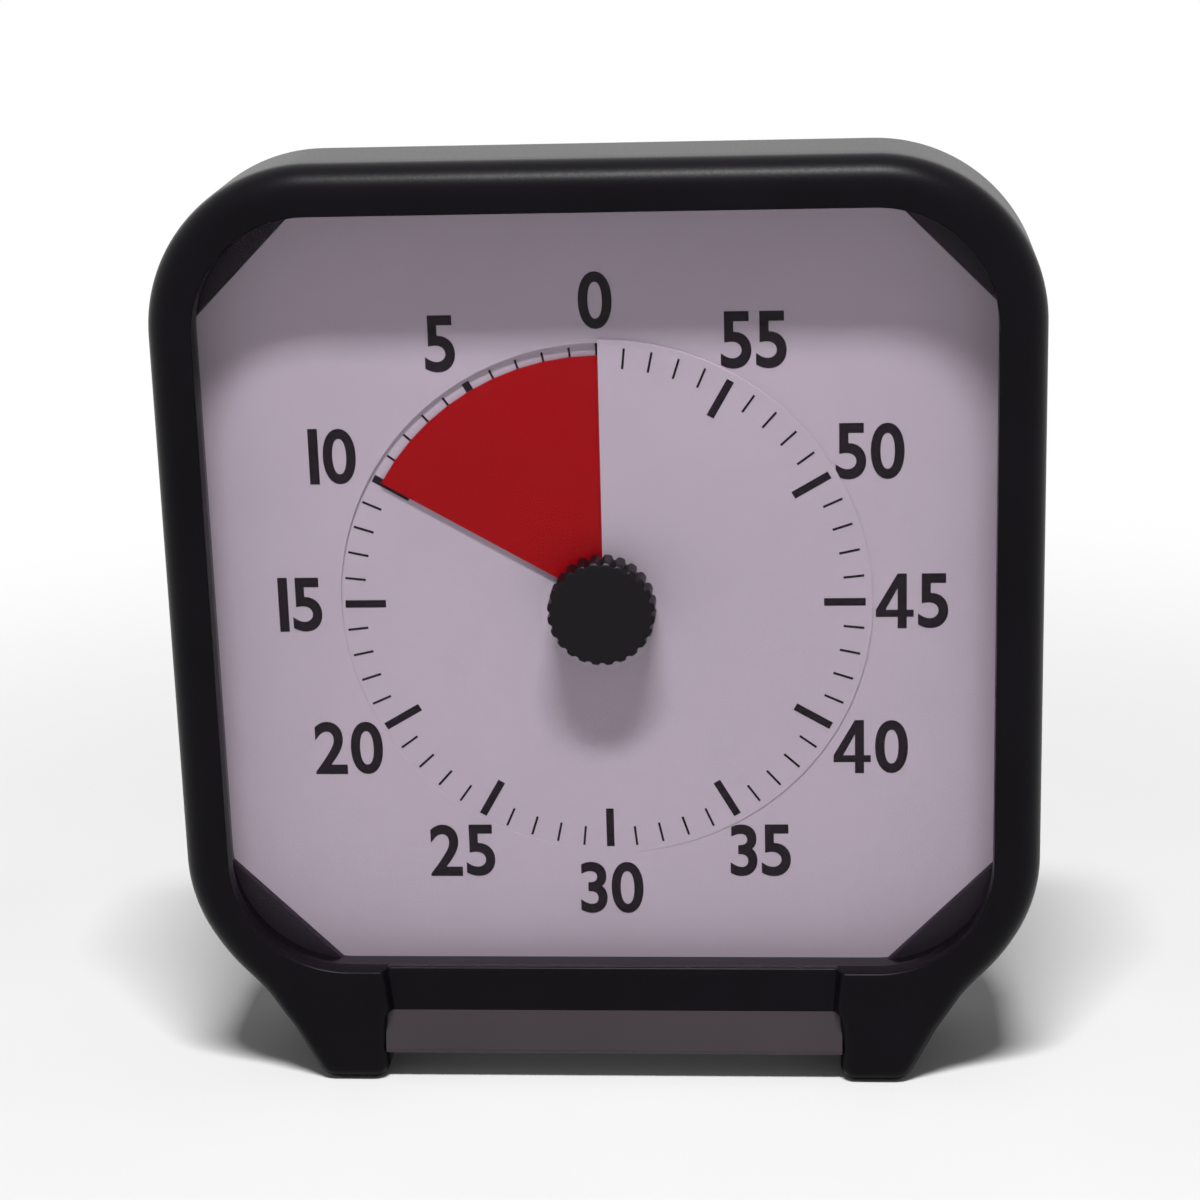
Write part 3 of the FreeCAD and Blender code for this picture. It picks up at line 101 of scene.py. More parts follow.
def new_node(tree: bpy.types.NodeTree, kind: str, inputs: dict, **settings: str) -> bpy.types.Node:
    """A new shader node.

    Args:
        tree: The tree to put it in.
        kind: Its type, less the prefix ShaderNode.
        inputs: As for fill.
        **settings: Its options, such as the operation.

    Returns:
        The node.
    """
    made = tree.nodes.new("ShaderNode" + kind)
    for name, value in settings.items():
        setattr(made, name, value)
    fill(tree, made, inputs)
    return made


class Grain(Enum):
    """How the surface of a finish is broken up."""

    MOULDED = "moulded"
    POLISHED = "polished"
    ROLLED = "rolled"
    TURNED = "turned"
    WOUND = "wound"
    PAPER = "paper"
    WOVEN = "woven"


@dataclass(frozen=True)
class Finish:
    """One surface finish, built as a node material on object coordinates.

    Attributes:
        name: Material name.
        colour: Main colour, as scene light.
        roughness: Middle roughness.
        grain: How the surface is broken up.
        metallic: 1 for metals.
        specular: Strength of the plain reflection.
        depth: Height of the fine relief, in metres.
        scale: Grains per metre.
        mottle: Share by which the colour wanders.
        coat: Strength of a clear coat.
    """

    name: str
    colour: Colour
    roughness: float
    grain: Grain = Grain.MOULDED
    metallic: float = 0.0
    specular: float = 0.5
    depth: float = 0.00001
    scale: float = 2600.0
    mottle: float = 0.08
    coat: float = 0.0

    def material(self) -> bpy.types.Material:
        """The material, made once and then shared.

        Returns:
            The material.
        """
        found = bpy.data.materials.get(self.name)
        if found is not None:
            return found
        made = bpy.data.materials.new(self.name)
        made.use_nodes = True
        made.diffuse_color = (*self.colour, 1.0)
        tree = made.node_tree
        place = new_node(tree, "TexCoord", {}).outputs["Object"]
        where = place
        drawn_out = {Grain.ROLLED: (0.05, 1.0, 1.0), Grain.WOUND: (1.0, 0.02, 0.02)}
        if self.grain in drawn_out:
            stretch = new_node(tree, "Mapping", {"Scale": drawn_out[self.grain], "Vector": place})
            where = stretch.outputs["Vector"]
        fine = self._pattern(tree, where)
        broad = new_node(tree, "TexNoise", {"Scale": 38.0, "Detail": 5.0, "Vector": place})
        shade = new_node(tree, "ValToRGB", {"Fac": broad.outputs["Fac"]})
        for stop, (at, change) in enumerate(((0.3, -self.mottle), (0.7, self.mottle))):
            shade.color_ramp.elements[stop].position = at
            shade.color_ramp.elements[stop].color = (*(min(1.0, c * (1 + change)) for c in self.colour), 1.0)
        swing = 0.06
        rough = new_node(tree, "MapRange", {
            "To Min": max(0.02, self.roughness - swing), "To Max": min(1.0, self.roughness + swing),
            "Value": fine})
        bump = new_node(tree, "Bump", {"Strength": 0.6, "Distance": self.depth, "Height": fine})
        fill(tree, tree.nodes["Principled BSDF"], {
            "Metallic": self.metallic, "Specular IOR Level": self.specular, "Coat Weight": self.coat,
            "Coat Roughness": 0.12, "Base Color": shade.outputs["Color"],
            "Roughness": rough.outputs["Result"], "Normal": bump.outputs["Normal"]})
        return made

    def _pattern(self, tree: bpy.types.NodeTree, where: bpy.types.NodeSocket) -> bpy.types.NodeSocket:
        """The fine pattern of the finish.

        Args:
            tree: The material's node tree.
            where: Coordinates to draw on.

        Returns:
            A value from 0 to 1 over the surface.
        """
        if self.grain in (Grain.TURNED, Grain.WOUND, Grain.WOVEN):
            shape = "RINGS" if self.grain is Grain.TURNED else "BANDS"
            wave = new_node(tree, "TexWave", {"Scale": self.scale / 6, "Distortion": 0.4, "Vector": where},
                            wave_type=shape, rings_direction="Y")
            return wave.outputs["Fac"]
        noise = new_node(tree, "TexNoise", {
            "Scale": self.scale, "Detail": 3.0, "Roughness": 0.55, "Vector": where})
        return noise.outputs["Fac"]


@dataclass(frozen=True)
class ClearFinish:
    """Clear moulded acrylic: a thin sheet that shows what is behind it and mirrors a little.

    Attributes:
        name: Material name.
        roughness: Roughness of the polished face.
        index: Refractive index, which sets how the mirroring grows with the angle.
        strength: Strength of the mirroring.
        tint: Light that passes one face.
    """

    name: str
    roughness: float = 0.04
    index: float = 1.45
    strength: float = 0.08
    tint: Colour = (0.985, 0.975, 0.985)

    def material(self) -> bpy.types.Material:
        """The clear material, made once.

        Returns:
            The material.
        """
        found = bpy.data.materials.get(self.name)
        if found is not None:
            return found
        made = bpy.data.materials.new(self.name)
        made.use_nodes = True
        tree = made.node_tree
        tree.nodes.remove(tree.nodes["Principled BSDF"])
        where = new_node(tree, "TexCoord", {}).outputs["Object"]
        smear = new_node(tree, "TexNoise", {"Scale": 45.0, "Detail": 6.0, "Vector": where})
        rough = new_node(tree, "MapRange", {
            "From Min": 0.4, "From Max": 0.75, "To Min": self.roughness, "To Max": self.roughness * 4,
            "Value": smear.outputs["Fac"]})
        mirror = new_node(tree, "BsdfAnisotropic", {
            "Color": (1.0, 1.0, 1.0, 1.0), "Roughness": rough.outputs["Result"]})
        through = new_node(tree, "BsdfTransparent", {"Color": (*self.tint, 1.0)})
        side = new_node(tree, "MapRange", {
            "To Min": self.index, "To Max": 1 / self.index,
            "Value": new_node(tree, "NewGeometry", {}).outputs["Backfacing"]})
        fresnel = new_node(tree, "Fresnel", {"IOR": side.outputs["Result"]})
        lit = new_node(tree, "MapRange", {
            "To Min": self.strength, "To Max": 0.0,
            "Value": new_node(tree, "LightPath", {}).outputs["Is Shadow Ray"]})
        share = new_node(tree, "Math", {0: fresnel.outputs["Fac"], 1: lit.outputs["Result"]},
                         operation="MULTIPLY")
        either = new_node(tree, "MixShader", {
            0: share.outputs["Value"], 1: through.outputs["BSDF"], 2: mirror.outputs["BSDF"]})
        fill(tree, tree.nodes["Material Output"], {"Surface": either.outputs["Shader"]})
        return made


GLOSS = Finish("case_black_polished", linear(10, 8, 11), 0.22, Grain.POLISHED, specular=0.6, depth=0.000002)
CASE = Finish("case_black_plastic", linear(10, 7, 12), 0.34, specular=0.07, depth=0.00003,
              scale=1500.0, mottle=0.22)
DIAL = Finish("dial_white_card", linear(173, 162, 174), 0.62, Grain.PAPER, specular=0.2, depth=0.000006,
              mottle=0.02)
RED = Finish("disk_red_sheet", linear(146, 2, 12), 0.6, Grain.PAPER, specular=0.05, depth=0.000006,
             mottle=0.05)
INK = Finish("dial_ink", linear(26, 20, 26), 0.6, Grain.PAPER, specular=0.1, depth=0.000003, scale=5000.0)
# Painted light: the strip below the bar is the case's black plastic, given a greyer colour for the lamp light
# and floor reflection it catches.
APRON_PAINTED_LIGHT = Finish("case_black_painted_light", linear(50, 42, 47), 0.38, specular=0.3, depth=0.000012, mottle=0.1)
# Painted light: the corner pads are moulded in the case's black plastic, and their greyer colour stands for
# the lamp light they catch.
PAD_PAINTED_LIGHT = Finish("corner_pad_black_painted_light", linear(34, 27, 36), 0.5, specular=0.1)
KNOB = Finish("knob_black_plastic", linear(13, 8, 13), 0.36, specular=0.14, depth=0.00003,
              scale=1800.0, mottle=0.2)
STEEL = Finish("plated_steel", linear(176, 174, 170), 0.28, Grain.ROLLED, metallic=1.0)
BRASS = Finish("turned_brass", linear(190, 152, 84), 0.3, Grain.TURNED, metallic=1.0)
COPPER = Finish("enamelled_copper", linear(178, 92, 46), 0.32, Grain.WOUND, metallic=1.0, scale=12000.0)
MAGNET = Finish("magnet_grey", linear(70, 70, 74), 0.45, metallic=0.8)
WHEEL = Finish("wheel_acetal", linear(224, 220, 206), 0.4, scale=3200.0)
MOVEMENT = Finish("movement_styrene", linear(26, 26, 28), 0.5, depth=0.00002)
BOARD = Finish("board_laminate", linear(22, 84, 46), 0.35, Grain.WOVEN, depth=0.000008, coat=0.3)
EPOXY = Finish("epoxy_moulded", linear(14, 14, 16), 0.2, Grain.POLISHED, depth=0.00001)
JACKET = Finish("cell_jacket_grey", linear(96, 104, 112), 0.3, Grain.POLISHED, metallic=0.3, coat=0.4)
LEAD_RED = Finish("lead_red_jacket", linear(170, 24, 20), 0.42, Grain.POLISHED)
LEAD_BLACK = Finish("lead_black_jacket", linear(22, 22, 24), 0.42, Grain.POLISHED)
SWITCH = Finish("switch_acetal", linear(206, 204, 200), 0.4)
RIBBON = Finish("ribbon_jacket", linear(150, 152, 156), 0.45, Grain.WOUND, scale=3000.0)
LENS = ClearFinish("lens_acrylic")

SLOT_FINISH = {
    "case_black": CASE, "lens_clear": LENS, "dial_white": DIAL, "disk_red": RED, "knob_black": KNOB,
    "steel": STEEL, "wheel_plastic": WHEEL, "magnet": MAGNET, "movement_black": MOVEMENT, "brass": BRASS,
    "copper": COPPER, "board_green": BOARD, "epoxy_black": EPOXY, "cell_jacket": JACKET,
    "lead_red": LEAD_RED, "lead_black": LEAD_BLACK, "switch_white": SWITCH, "ribbon_grey": RIBBON,
}


def mesh_object(name: str, points: np.ndarray, faces: list, finish: Finish | ClearFinish) -> bpy.types.Object:
    """A finished mesh piece with outward faces, at the origin.

    Edges that turn more than SMOOTH_ANGLE stay sharp.

    Args:
        name: Piece name.
        points: Corner places, shape (n, 3).
        faces: Corner numbers of each face.
        finish: Its finish.

    Returns:
        The new object, linked to the scene.
    """
    mesh = bpy.data.meshes.new(name)
    mesh.from_pydata(points.tolist(), [], faces)
    work = bmesh.new()
    work.from_mesh(mesh)
    bmesh.ops.remove_doubles(work, verts=work.verts, dist=1e-7)
    bmesh.ops.dissolve_degenerate(work, dist=1e-8, edges=work.edges)
    bmesh.ops.recalc_face_normals(work, faces=work.faces)
    work.to_mesh(mesh)
    work.free()
    mesh.polygons.foreach_set("use_smooth", np.ones(len(mesh.polygons), dtype=bool))
    mesh.set_sharp_from_angle(angle=SMOOTH_ANGLE)
    mesh.materials.append(finish.material())
    made = bpy.data.objects.new(name, mesh)
    bpy.context.scene.collection.objects.link(made)
    LOG.info("%s: %d faces", name, len(mesh.polygons))
    return made


def grid_faces(rows: int, columns: int, close_rows: bool, close_columns: bool, start: int = 0) -> list:
    """Four-sided faces over a grid of points stored row by row.

    Args:
        rows: Number of rows.
        columns: Points in a row.
        close_rows: Join the last row to the first.
        close_columns: Join the last column to the first.
        start: Number of the grid's first point.

    Returns:
        Corner numbers of each face.
    """
    row = np.arange(rows if close_rows else rows - 1)
    column = np.arange(columns if close_columns else columns - 1)
    r, c = np.meshgrid(row, column, indexing="ij")
    r2, c2 = (r + 1) % rows, (c + 1) % columns
    corners = np.stack([r * columns + c, r * columns + c2, r2 * columns + c2, r2 * columns + c], axis=-1)
    return (corners.reshape(-1, 4) + start).tolist()


def at_depth(plane: np.ndarray, depth: np.ndarray | float) -> np.ndarray:
    """Places from (x, z) pairs and a depth behind the front face."""
    y = np.broadcast_to(np.asarray(depth, dtype=float) + FRONT_Y, plane.shape[:1])
    return np.stack([plane[:, 0], y, plane[:, 1]], axis=1)


def line(start: tuple[float, float], end: tuple[float, float], count: int) -> np.ndarray:
    """Even steps from start up to but not including end, as (count, 2)."""
    t = np.arange(count)[:, None] / count
    return (1 - t) * np.array(start) + t * np.array(end)


def arc(centre: tuple[float, float], radius: float, first: float, last: float, count: int) -> np.ndarray:
    """Steps along centre + radius (cos a, sin a), a in degrees from first up to but not including last."""
    a = np.radians(first + (last - first) * np.arange(count) / count)
    return np.array(centre) + radius * np.stack([np.cos(a), np.sin(a)], axis=1)


def bend(before: tuple[float, float], corner: tuple[float, float], after: tuple[float, float],
         radius: float, count: int) -> tuple[np.ndarray, np.ndarray, np.ndarray]:
    """A rounded corner between two straight runs.

    With the half turn h between the runs, the arc starts and ends radius tan(h) from the corner.

    Args:
        before: The point before the corner.
        corner: The corner.
        after: The point after the corner.
        radius: Radius of the round.
        count: Steps along it.

    Returns:
        Where the round starts, its points, and where it ends.
    """
    p, q, s = np.array(before), np.array(corner), np.array(after)
    u = (p - q) / np.linalg.norm(p - q)
    v = (s - q) / np.linalg.norm(s - q)
    half = (math.pi - math.acos(float(np.clip(u @ v, -1, 1)))) / 2
    trim = radius * math.tan(half)
    first, last = q + u * trim, q + v * trim
    middle = q + (u + v) / np.linalg.norm(u + v) * radius / math.cos(half)
    a0 = math.atan2(*(first - middle)[::-1])
    turn = (math.atan2(*(last - middle)[::-1]) - a0 + math.pi) % (2 * math.pi) - math.pi
    a = a0 + turn * np.arange(count) / count
    points = middle + radius * np.stack([np.cos(a), np.sin(a)], axis=1)
    return first, points, last


def outward(loop: np.ndarray) -> np.ndarray:
    """Unit normals of a closed anticlockwise loop: the step between a point's neighbours, turned outwards.

    Args:
        loop: Points in order, shape (n, 2).

    Returns:
        A normal for each point.
    """
    step = np.roll(loop, -1, axis=0) - np.roll(loop, 1, axis=0)
    step /= np.maximum(np.linalg.norm(step, axis=1, keepdims=True), 1e-12)
    return np.stack([step[:, 1], -step[:, 0]], axis=1)


def smoothstep(x: np.ndarray, low: float, high: float) -> np.ndarray:
    """0 below low, 1 above high, and t t (3 - 2 t) between."""
    t = np.clip((x - low) / (high - low), 0, 1)
    return t * t * (3 - 2 * t)


@dataclass
class FrontCase:
    """The front half of the case: a ring round the window, with the feet, the bar and the corner pads.

    Attributes:
        half_width: Half the width of the body.
        half_height: Half its height.
        corner: Outer corner radius.
        bezel: Width of the front face between the outline and the window.
        depth: Depth of the front half.
        wall: Thickness of the outer wall.
        front_round: Radius of the round along the front.
        foot_round: Radius of the round along the front of a foot.
        bar_setback: How far the bar between the feet lies back.
        bar_step: Where the step back starts and ends, measured from a foot's inner side.
        step_room: Width beside a foot that has closer points.
        lens_depth: Depth of the lens seat.
        ledge: Width of the lens seat.
        tunnel_wall: Thickness of the wall round the lens and dial.
        dial_depth: Depth of the dial's face.
        foot_inner: Where a foot's inner side stands.
        foot_sole: Where its sole ends.
        foot_bend: Where its outer side bends.
        foot_shoulder: Where it meets the body.
        foot_rounds: Radii at its inner top, inner sole, outer sole and outer bend.
        meet: Angle at which it runs into the body's corner, in degrees.
        lead: How far before the shoulder it starts to curve.
        gap: Height of the bar above the table.
        pad_reach: Sum of |x| and height along a corner pad's straight edge.
        pad_front: How far a pad's face stands before the dial.
        pad_edge: Radius of the round at its straight edge.
        pad_overlap: How far it reaches into the tunnel's wall.
        lip_round: Radius of the round at the window's edge.
        bar_round: Radius of the round along the bar.
        foot_blend: Heights between which a foot's round grows into the body's.
        crisp_reach: Reach of the smaller round about a foot's inner top.
        crisp_share: Share by which the round is smaller there.
        rear_trim: Chamfer at the rear edge.
        seat_step: First step past the lens seat.
        cavity_step: Depth of the middle row of the rear cavity.
        gloss_from: Depth from which the tunnel is polished.
        inward: Least product of normal and place for a face that looks to the middle.
        flare: Corners of the strip below the bar, as (depth, z).
        flare_rounds: Radii of the rounds at its corners.
        flare_overlap: How far it reaches into each foot.
    """

    half_width: float = 0.095
    half_height: float = 0.0955
    corner: float = 0.036
    bezel: float = 0.0104
    depth: float = 0.029
    wall: float = 0.0025
    front_round: float = 0.007
    foot_round: float = 0.0034
    bar_setback: float = 0.003
    bar_step: tuple[float, float] = (0.0016, 0.0004)
    step_room: float = 0.0022
    lens_depth: float = 0.005
    ledge: float = 0.0012
    tunnel_wall: float = 0.0018
    dial_depth: float = 0.012
    foot_inner: float = 0.051
    foot_sole: float = 0.0658
    foot_bend: tuple[float, float] = (0.0724, 0.0125)
    foot_shoulder: tuple[float, float] = (0.0796, 0.023)
    foot_rounds: tuple[float, float, float, float] = (0.0009, 0.0035, 0.005, 0.03)
    meet: float = -47.0
    lead: float = 0.005
    gap: float = 0.0163
    pad_reach: float = 0.148
    pad_front: float = 0.0015
    pad_edge: float = 0.0005
    pad_overlap: float = 0.0003
    lip_round: float = 0.0006
    bar_round: float = 0.0001
    foot_blend: tuple[float, float] = (0.014, 0.034)
    crisp_reach: float = 0.003
    crisp_share: float = 0.55
    rear_trim: float = 0.0004
    seat_step: float = 0.0003
    cavity_step: float = 0.017
    gloss_from: float = 0.0039
    inward: float = 0.014
    flare: tuple[tuple[float, float], ...] = ((0.0037, 0.0185), (0.0030, 0.0163), (0.0005, 0.0063),
                                              (0.0035, 0.0063), (0.0060, 0.0163), (0.0060, 0.0185))
    flare_rounds: tuple[float, ...] = (0.0025, 0.0012, 0.0012, 0.002)
    flare_overlap: float = 0.0004

    def outlines(self) -> tuple[np.ndarray, np.ndarray]:
        """The outer outline and the window's, as matched closed loops that run anticlockwise.

        Returns:
            Two arrays of (x, z), point n of one facing point n of the other.
        """
        cx, low, high = self.half_width - self.corner, BODY_Z - self.half_height, BODY_Z + self.half_height
        centre_low, centre_high = (cx, low + self.corner), (cx, high - self.corner)
        gap, fi, sole = self.gap, self.foot_inner, self.foot_sole
        top_round, inner_round, sole_round, bend_round = self.foot_rounds
        start_a, curve_a, end_a = bend((0, gap), (fi, gap), (fi, 0), top_round, 8)
        start_b, curve_b, end_b = bend((fi, gap), (fi, 0), (sole, 0), inner_round, 12)
        start_c, curve_c, end_c = bend((fi, 0), (sole, 0), self.foot_bend, sole_round, 12)
        start_d, curve_d, end_d = bend((sole, 0), self.foot_bend, self.foot_shoulder, bend_round, 8)
        away = np.array(self.foot_shoulder) - np.array(self.foot_bend)
        away /= np.linalg.norm(away)
        join = np.array(self.foot_shoulder) - away * self.lead
        meet = self.meet
        turn = math.radians(meet)
        landing = np.array(centre_low) + self.corner * np.array([math.cos(turn), math.sin(turn)])
        tangent = np.array([-math.sin(turn), math.cos(turn)])
        t = np.arange(14)[:, None] / 14
        pull = np.linalg.norm(landing - join)
        blend = ((2 * t**3 - 3 * t**2 + 1) * join + (t**3 - 2 * t**2 + t) * pull * away
                 + (3 * t**2 - 2 * t**3) * landing + (t**3 - t**2) * pull * tangent)
        step_edge = (fi - self.step_room, gap)
        foot = np.concatenate([
            curve_a, line(end_a, start_b, 10), curve_b, line(end_b, start_c, 6), curve_c,
            line(end_c, start_d, 8), curve_d, line(end_d, join, 5), blend])
        parts = [line((0, gap), step_edge, 22), line(step_edge, start_a, 8), foot,
                 arc(centre_low, self.corner, meet, 0, 16),
                 line((self.half_width, centre_low[1]), (self.half_width, centre_high[1]), 30),
                 arc(centre_high, self.corner, 0, 90, 32), line((cx, high), (0, high), 20)]
        right = np.concatenate(parts)
        counts = [len(p) for p in parts]

        radius = self.corner - self.bezel
        bottom, top, side = low + self.bezel, high - self.bezel, self.half_width - self.bezel
        reach = cx - fi
        along = np.linspace(0, reach + radius * math.radians(90 + meet), counts[2], endpoint=False)
        angle = -math.pi / 2 + (along - reach) / radius
        bent = np.stack([cx + radius * np.cos(angle), centre_low[1] + radius * np.sin(angle)], axis=1)
        straight = np.stack([fi + along, np.full_like(along, bottom)], axis=1)
        window = np.concatenate([
            line((0, bottom), (step_edge[0], bottom), counts[0]),
            line((step_edge[0], bottom), (fi, bottom), counts[1]),
            np.where((along < reach)[:, None], straight, bent),
            arc(centre_low, radius, meet, 0, counts[3]),
            line((side, centre_low[1]), (side, centre_high[1]), counts[4]),
            arc(centre_high, radius, 0, 90, counts[5]),
            line((cx, top), (0, top), counts[6])])
        mirror = np.array([-1.0, 1.0])
        outer = np.concatenate([right, [[0, high]], (right[1:] * mirror)[::-1]])
        inner = np.concatenate([window, [[0, top]], (window[1:] * mirror)[::-1]])
        return outer, inner

    def ring(self) -> bpy.types.Object:
        """The case ring, one closed surface.

        The surface is S(u, v): u runs round the matched outlines, and v runs from the rear edge along the
        wall, over the front round (inset r (1 - cos t), depth d + r (1 - sin t)), across the face, down the
        tunnel and back through the channel behind it. The tunnel's walls get the polished finish.

        Returns:
            The piece.
        """
        outer, window = self.outlines()
        out, win = outward(outer), outward(window)
        x, z = np.abs(outer[:, 0]), outer[:, 1]
        step_start, step_end = (self.foot_inner - room for room in self.bar_step)
        in_bar = (1 - smoothstep(x, step_start, step_end)) * (z < BODY_Z)
        front = self.bar_setback * in_bar
        body_share = smoothstep(z, *self.foot_blend)
        radius = self.foot_round + (self.front_round - self.foot_round) * body_share
        radius = radius * (1 - in_bar) + self.bar_round * in_bar
        off_corner = (x - self.foot_inner) ** 2 + (z - self.gap) ** 2
        near_corner = np.exp(-(off_corner / self.crisp_reach**2)) * (1 - in_bar)
        radius = radius * (1 - self.crisp_share * near_corner)
        radius = radius[:, None]

        trim, lip, step = self.rear_trim, self.lip_round, self.seat_step
        rows = [at_depth(outer - out * trim, self.depth), at_depth(outer, self.depth - trim)]
        for depth in np.linspace(self.depth - 0.002, 0.011, 5):
            rows.append(at_depth(outer, depth))
        for t in np.linspace(0, math.pi / 2, 11):
            drawn_in = outer - out * radius * (1 - math.cos(t))
            rows.append(at_depth(drawn_in, front + radius[:, 0] * (1 - math.sin(t))))
        start, end = outer - out * radius, window + win * lip
        for share in (0.15, 0.35, 0.55, 0.75, 0.9):
            rows.append(at_depth(start * (1 - share) + end * share, front))
        for t in np.linspace(0, math.pi / 2, 6):
            rows.append(at_depth(window + win * lip * (1 - math.sin(t)), front + lip * (1 - math.cos(t))))
        tunnel = window + win * self.ledge
        behind = window + win * (self.ledge + self.tunnel_wall)
        cavity = window + win * (self.bezel - self.wall)
        rows += [at_depth(window, self.lens_depth - step), at_depth(window, self.lens_depth)]
        rows += [at_depth(window + win * step, self.lens_depth), at_depth(tunnel, self.lens_depth)]
        rows += [at_depth(tunnel, d) for d in np.linspace(self.lens_depth + step, self.dial_depth, 4)]
        rows += [at_depth(behind, self.dial_depth), at_depth(behind, self.lens_depth)]
        rows += [at_depth(cavity, d) for d in (self.lens_depth, self.cavity_step, self.depth)]
        rows.append(at_depth((cavity + outer) / 2, self.depth))
        points = np.concatenate(rows)
        faces = grid_faces(len(rows), len(outer), True, True)
        made = mesh_object("case_front", points, faces, CASE)
        made.data.materials.append(GLOSS.material())
        for face in made.data.polygons:
            outwards = face.normal.x * face.center.x + face.normal.z * (face.center.z - BODY_Z)
            in_tunnel = self.gloss_from < face.center.y - FRONT_Y < self.dial_depth
            if in_tunnel and outwards < -self.inward:
                face.material_index = 1
        return made

    def apron(self) -> bpy.types.Object:
        """The flared strip below the bar: a rounded profile of (depth, z), carried along x.

        Returns:
            The piece.
        """
        flare = self.flare
        profile = [np.array([flare[0]])]
        for before, corner, after, radius in zip(flare, flare[1:], flare[2:], self.flare_rounds):
            _, curve, last = bend(before, corner, after, radius, 8)
            profile += [curve, last[None, :]]
        profile.append(np.array([flare[-1]]))
        section = np.concatenate(profile)
        reach = self.foot_inner + self.flare_overlap
        across = np.linspace(-reach, reach, 25)
        count = len(section)
        depth, height = section[:, 0] + FRONT_Y, section[:, 1]
        rows = [np.stack([np.full(count, x), depth, height], axis=1) for x in across]
        faces = grid_faces(len(rows), count, False, True)
        faces.append(list(range(count)))
        faces.append(list(range(count * (len(rows) - 1), count * len(rows))))
        # The strip's greyer finish is painted light on the case's black plastic.
        return mesh_object("case_apron", np.concatenate(rows), faces, APRON_PAINTED_LIGHT)

    def corner_pads(self) -> bpy.types.Object:
        """Four flat pads in the corners of the opening, each between a chord and the tunnel's corner arc.

        The face is S(s, t) = (1 - t) chord(s) + t arc(s), with a rounded chord edge.

        Returns:
            The piece.
        """
        radius = self.corner - self.bezel + self.ledge + self.pad_overlap
        cx, cz = self.half_width - self.corner, self.half_height - self.corner
        offset = (self.pad_reach - cx - cz) / math.sqrt(2)
        spread = math.acos(offset / radius)
        a = np.linspace(math.pi / 4 - spread, math.pi / 4 + spread, 25)
        arc_line = np.stack([cx + radius * np.cos(a), cz + radius * np.sin(a)], axis=1)
        s = np.linspace(0, 1, 25)[:, None]
        chord = (1 - s) * arc_line[0] + s * arc_line[-1]
        lean = np.array([1.0, 1.0]) / math.sqrt(2)
        front, edge = self.dial_depth - self.pad_front, self.pad_edge
        rows = [(chord, self.dial_depth)]
        rows += [(chord + lean * edge * (1 - math.cos(t)), front + edge * (1 - math.sin(t)))
                 for t in np.linspace(0, math.pi / 2, 5)]
        inner = chord + lean * edge
        inner_end = np.where((np.linalg.norm(inner - [cx, cz], axis=1) > radius)[:, None], arc_line, inner)
        rows[-1] = (inner_end, front)
        rows += [((1 - t) * inner_end + t * arc_line, front) for t in (0.25, 0.5, 0.75, 1.0)]
        rows.append((arc_line, self.dial_depth))
        points, faces = [], []
        for sx in (-1, 1):
            for sz in (-1, 1):
                grid = [at_depth(p * [sx, sz] + [0, BODY_Z], d) for p, d in rows]
                faces += grid_faces(len(rows), len(chord), True, False, sum(len(p) for p in points))
                points.append(np.concatenate(grid))
        # The pads' greyer finish is painted light on the case's black plastic.
        return mesh_object("corner_pads", np.concatenate(points), faces, PAD_PAINTED_LIGHT)

    def build(self) -> None:
        """Build the front half and put it on the case."""
        ring = self.ring()
        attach(ring, "case")
        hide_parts("front_frame")
        for piece in (self.apron(), self.corner_pads()):
            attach(piece, "case")


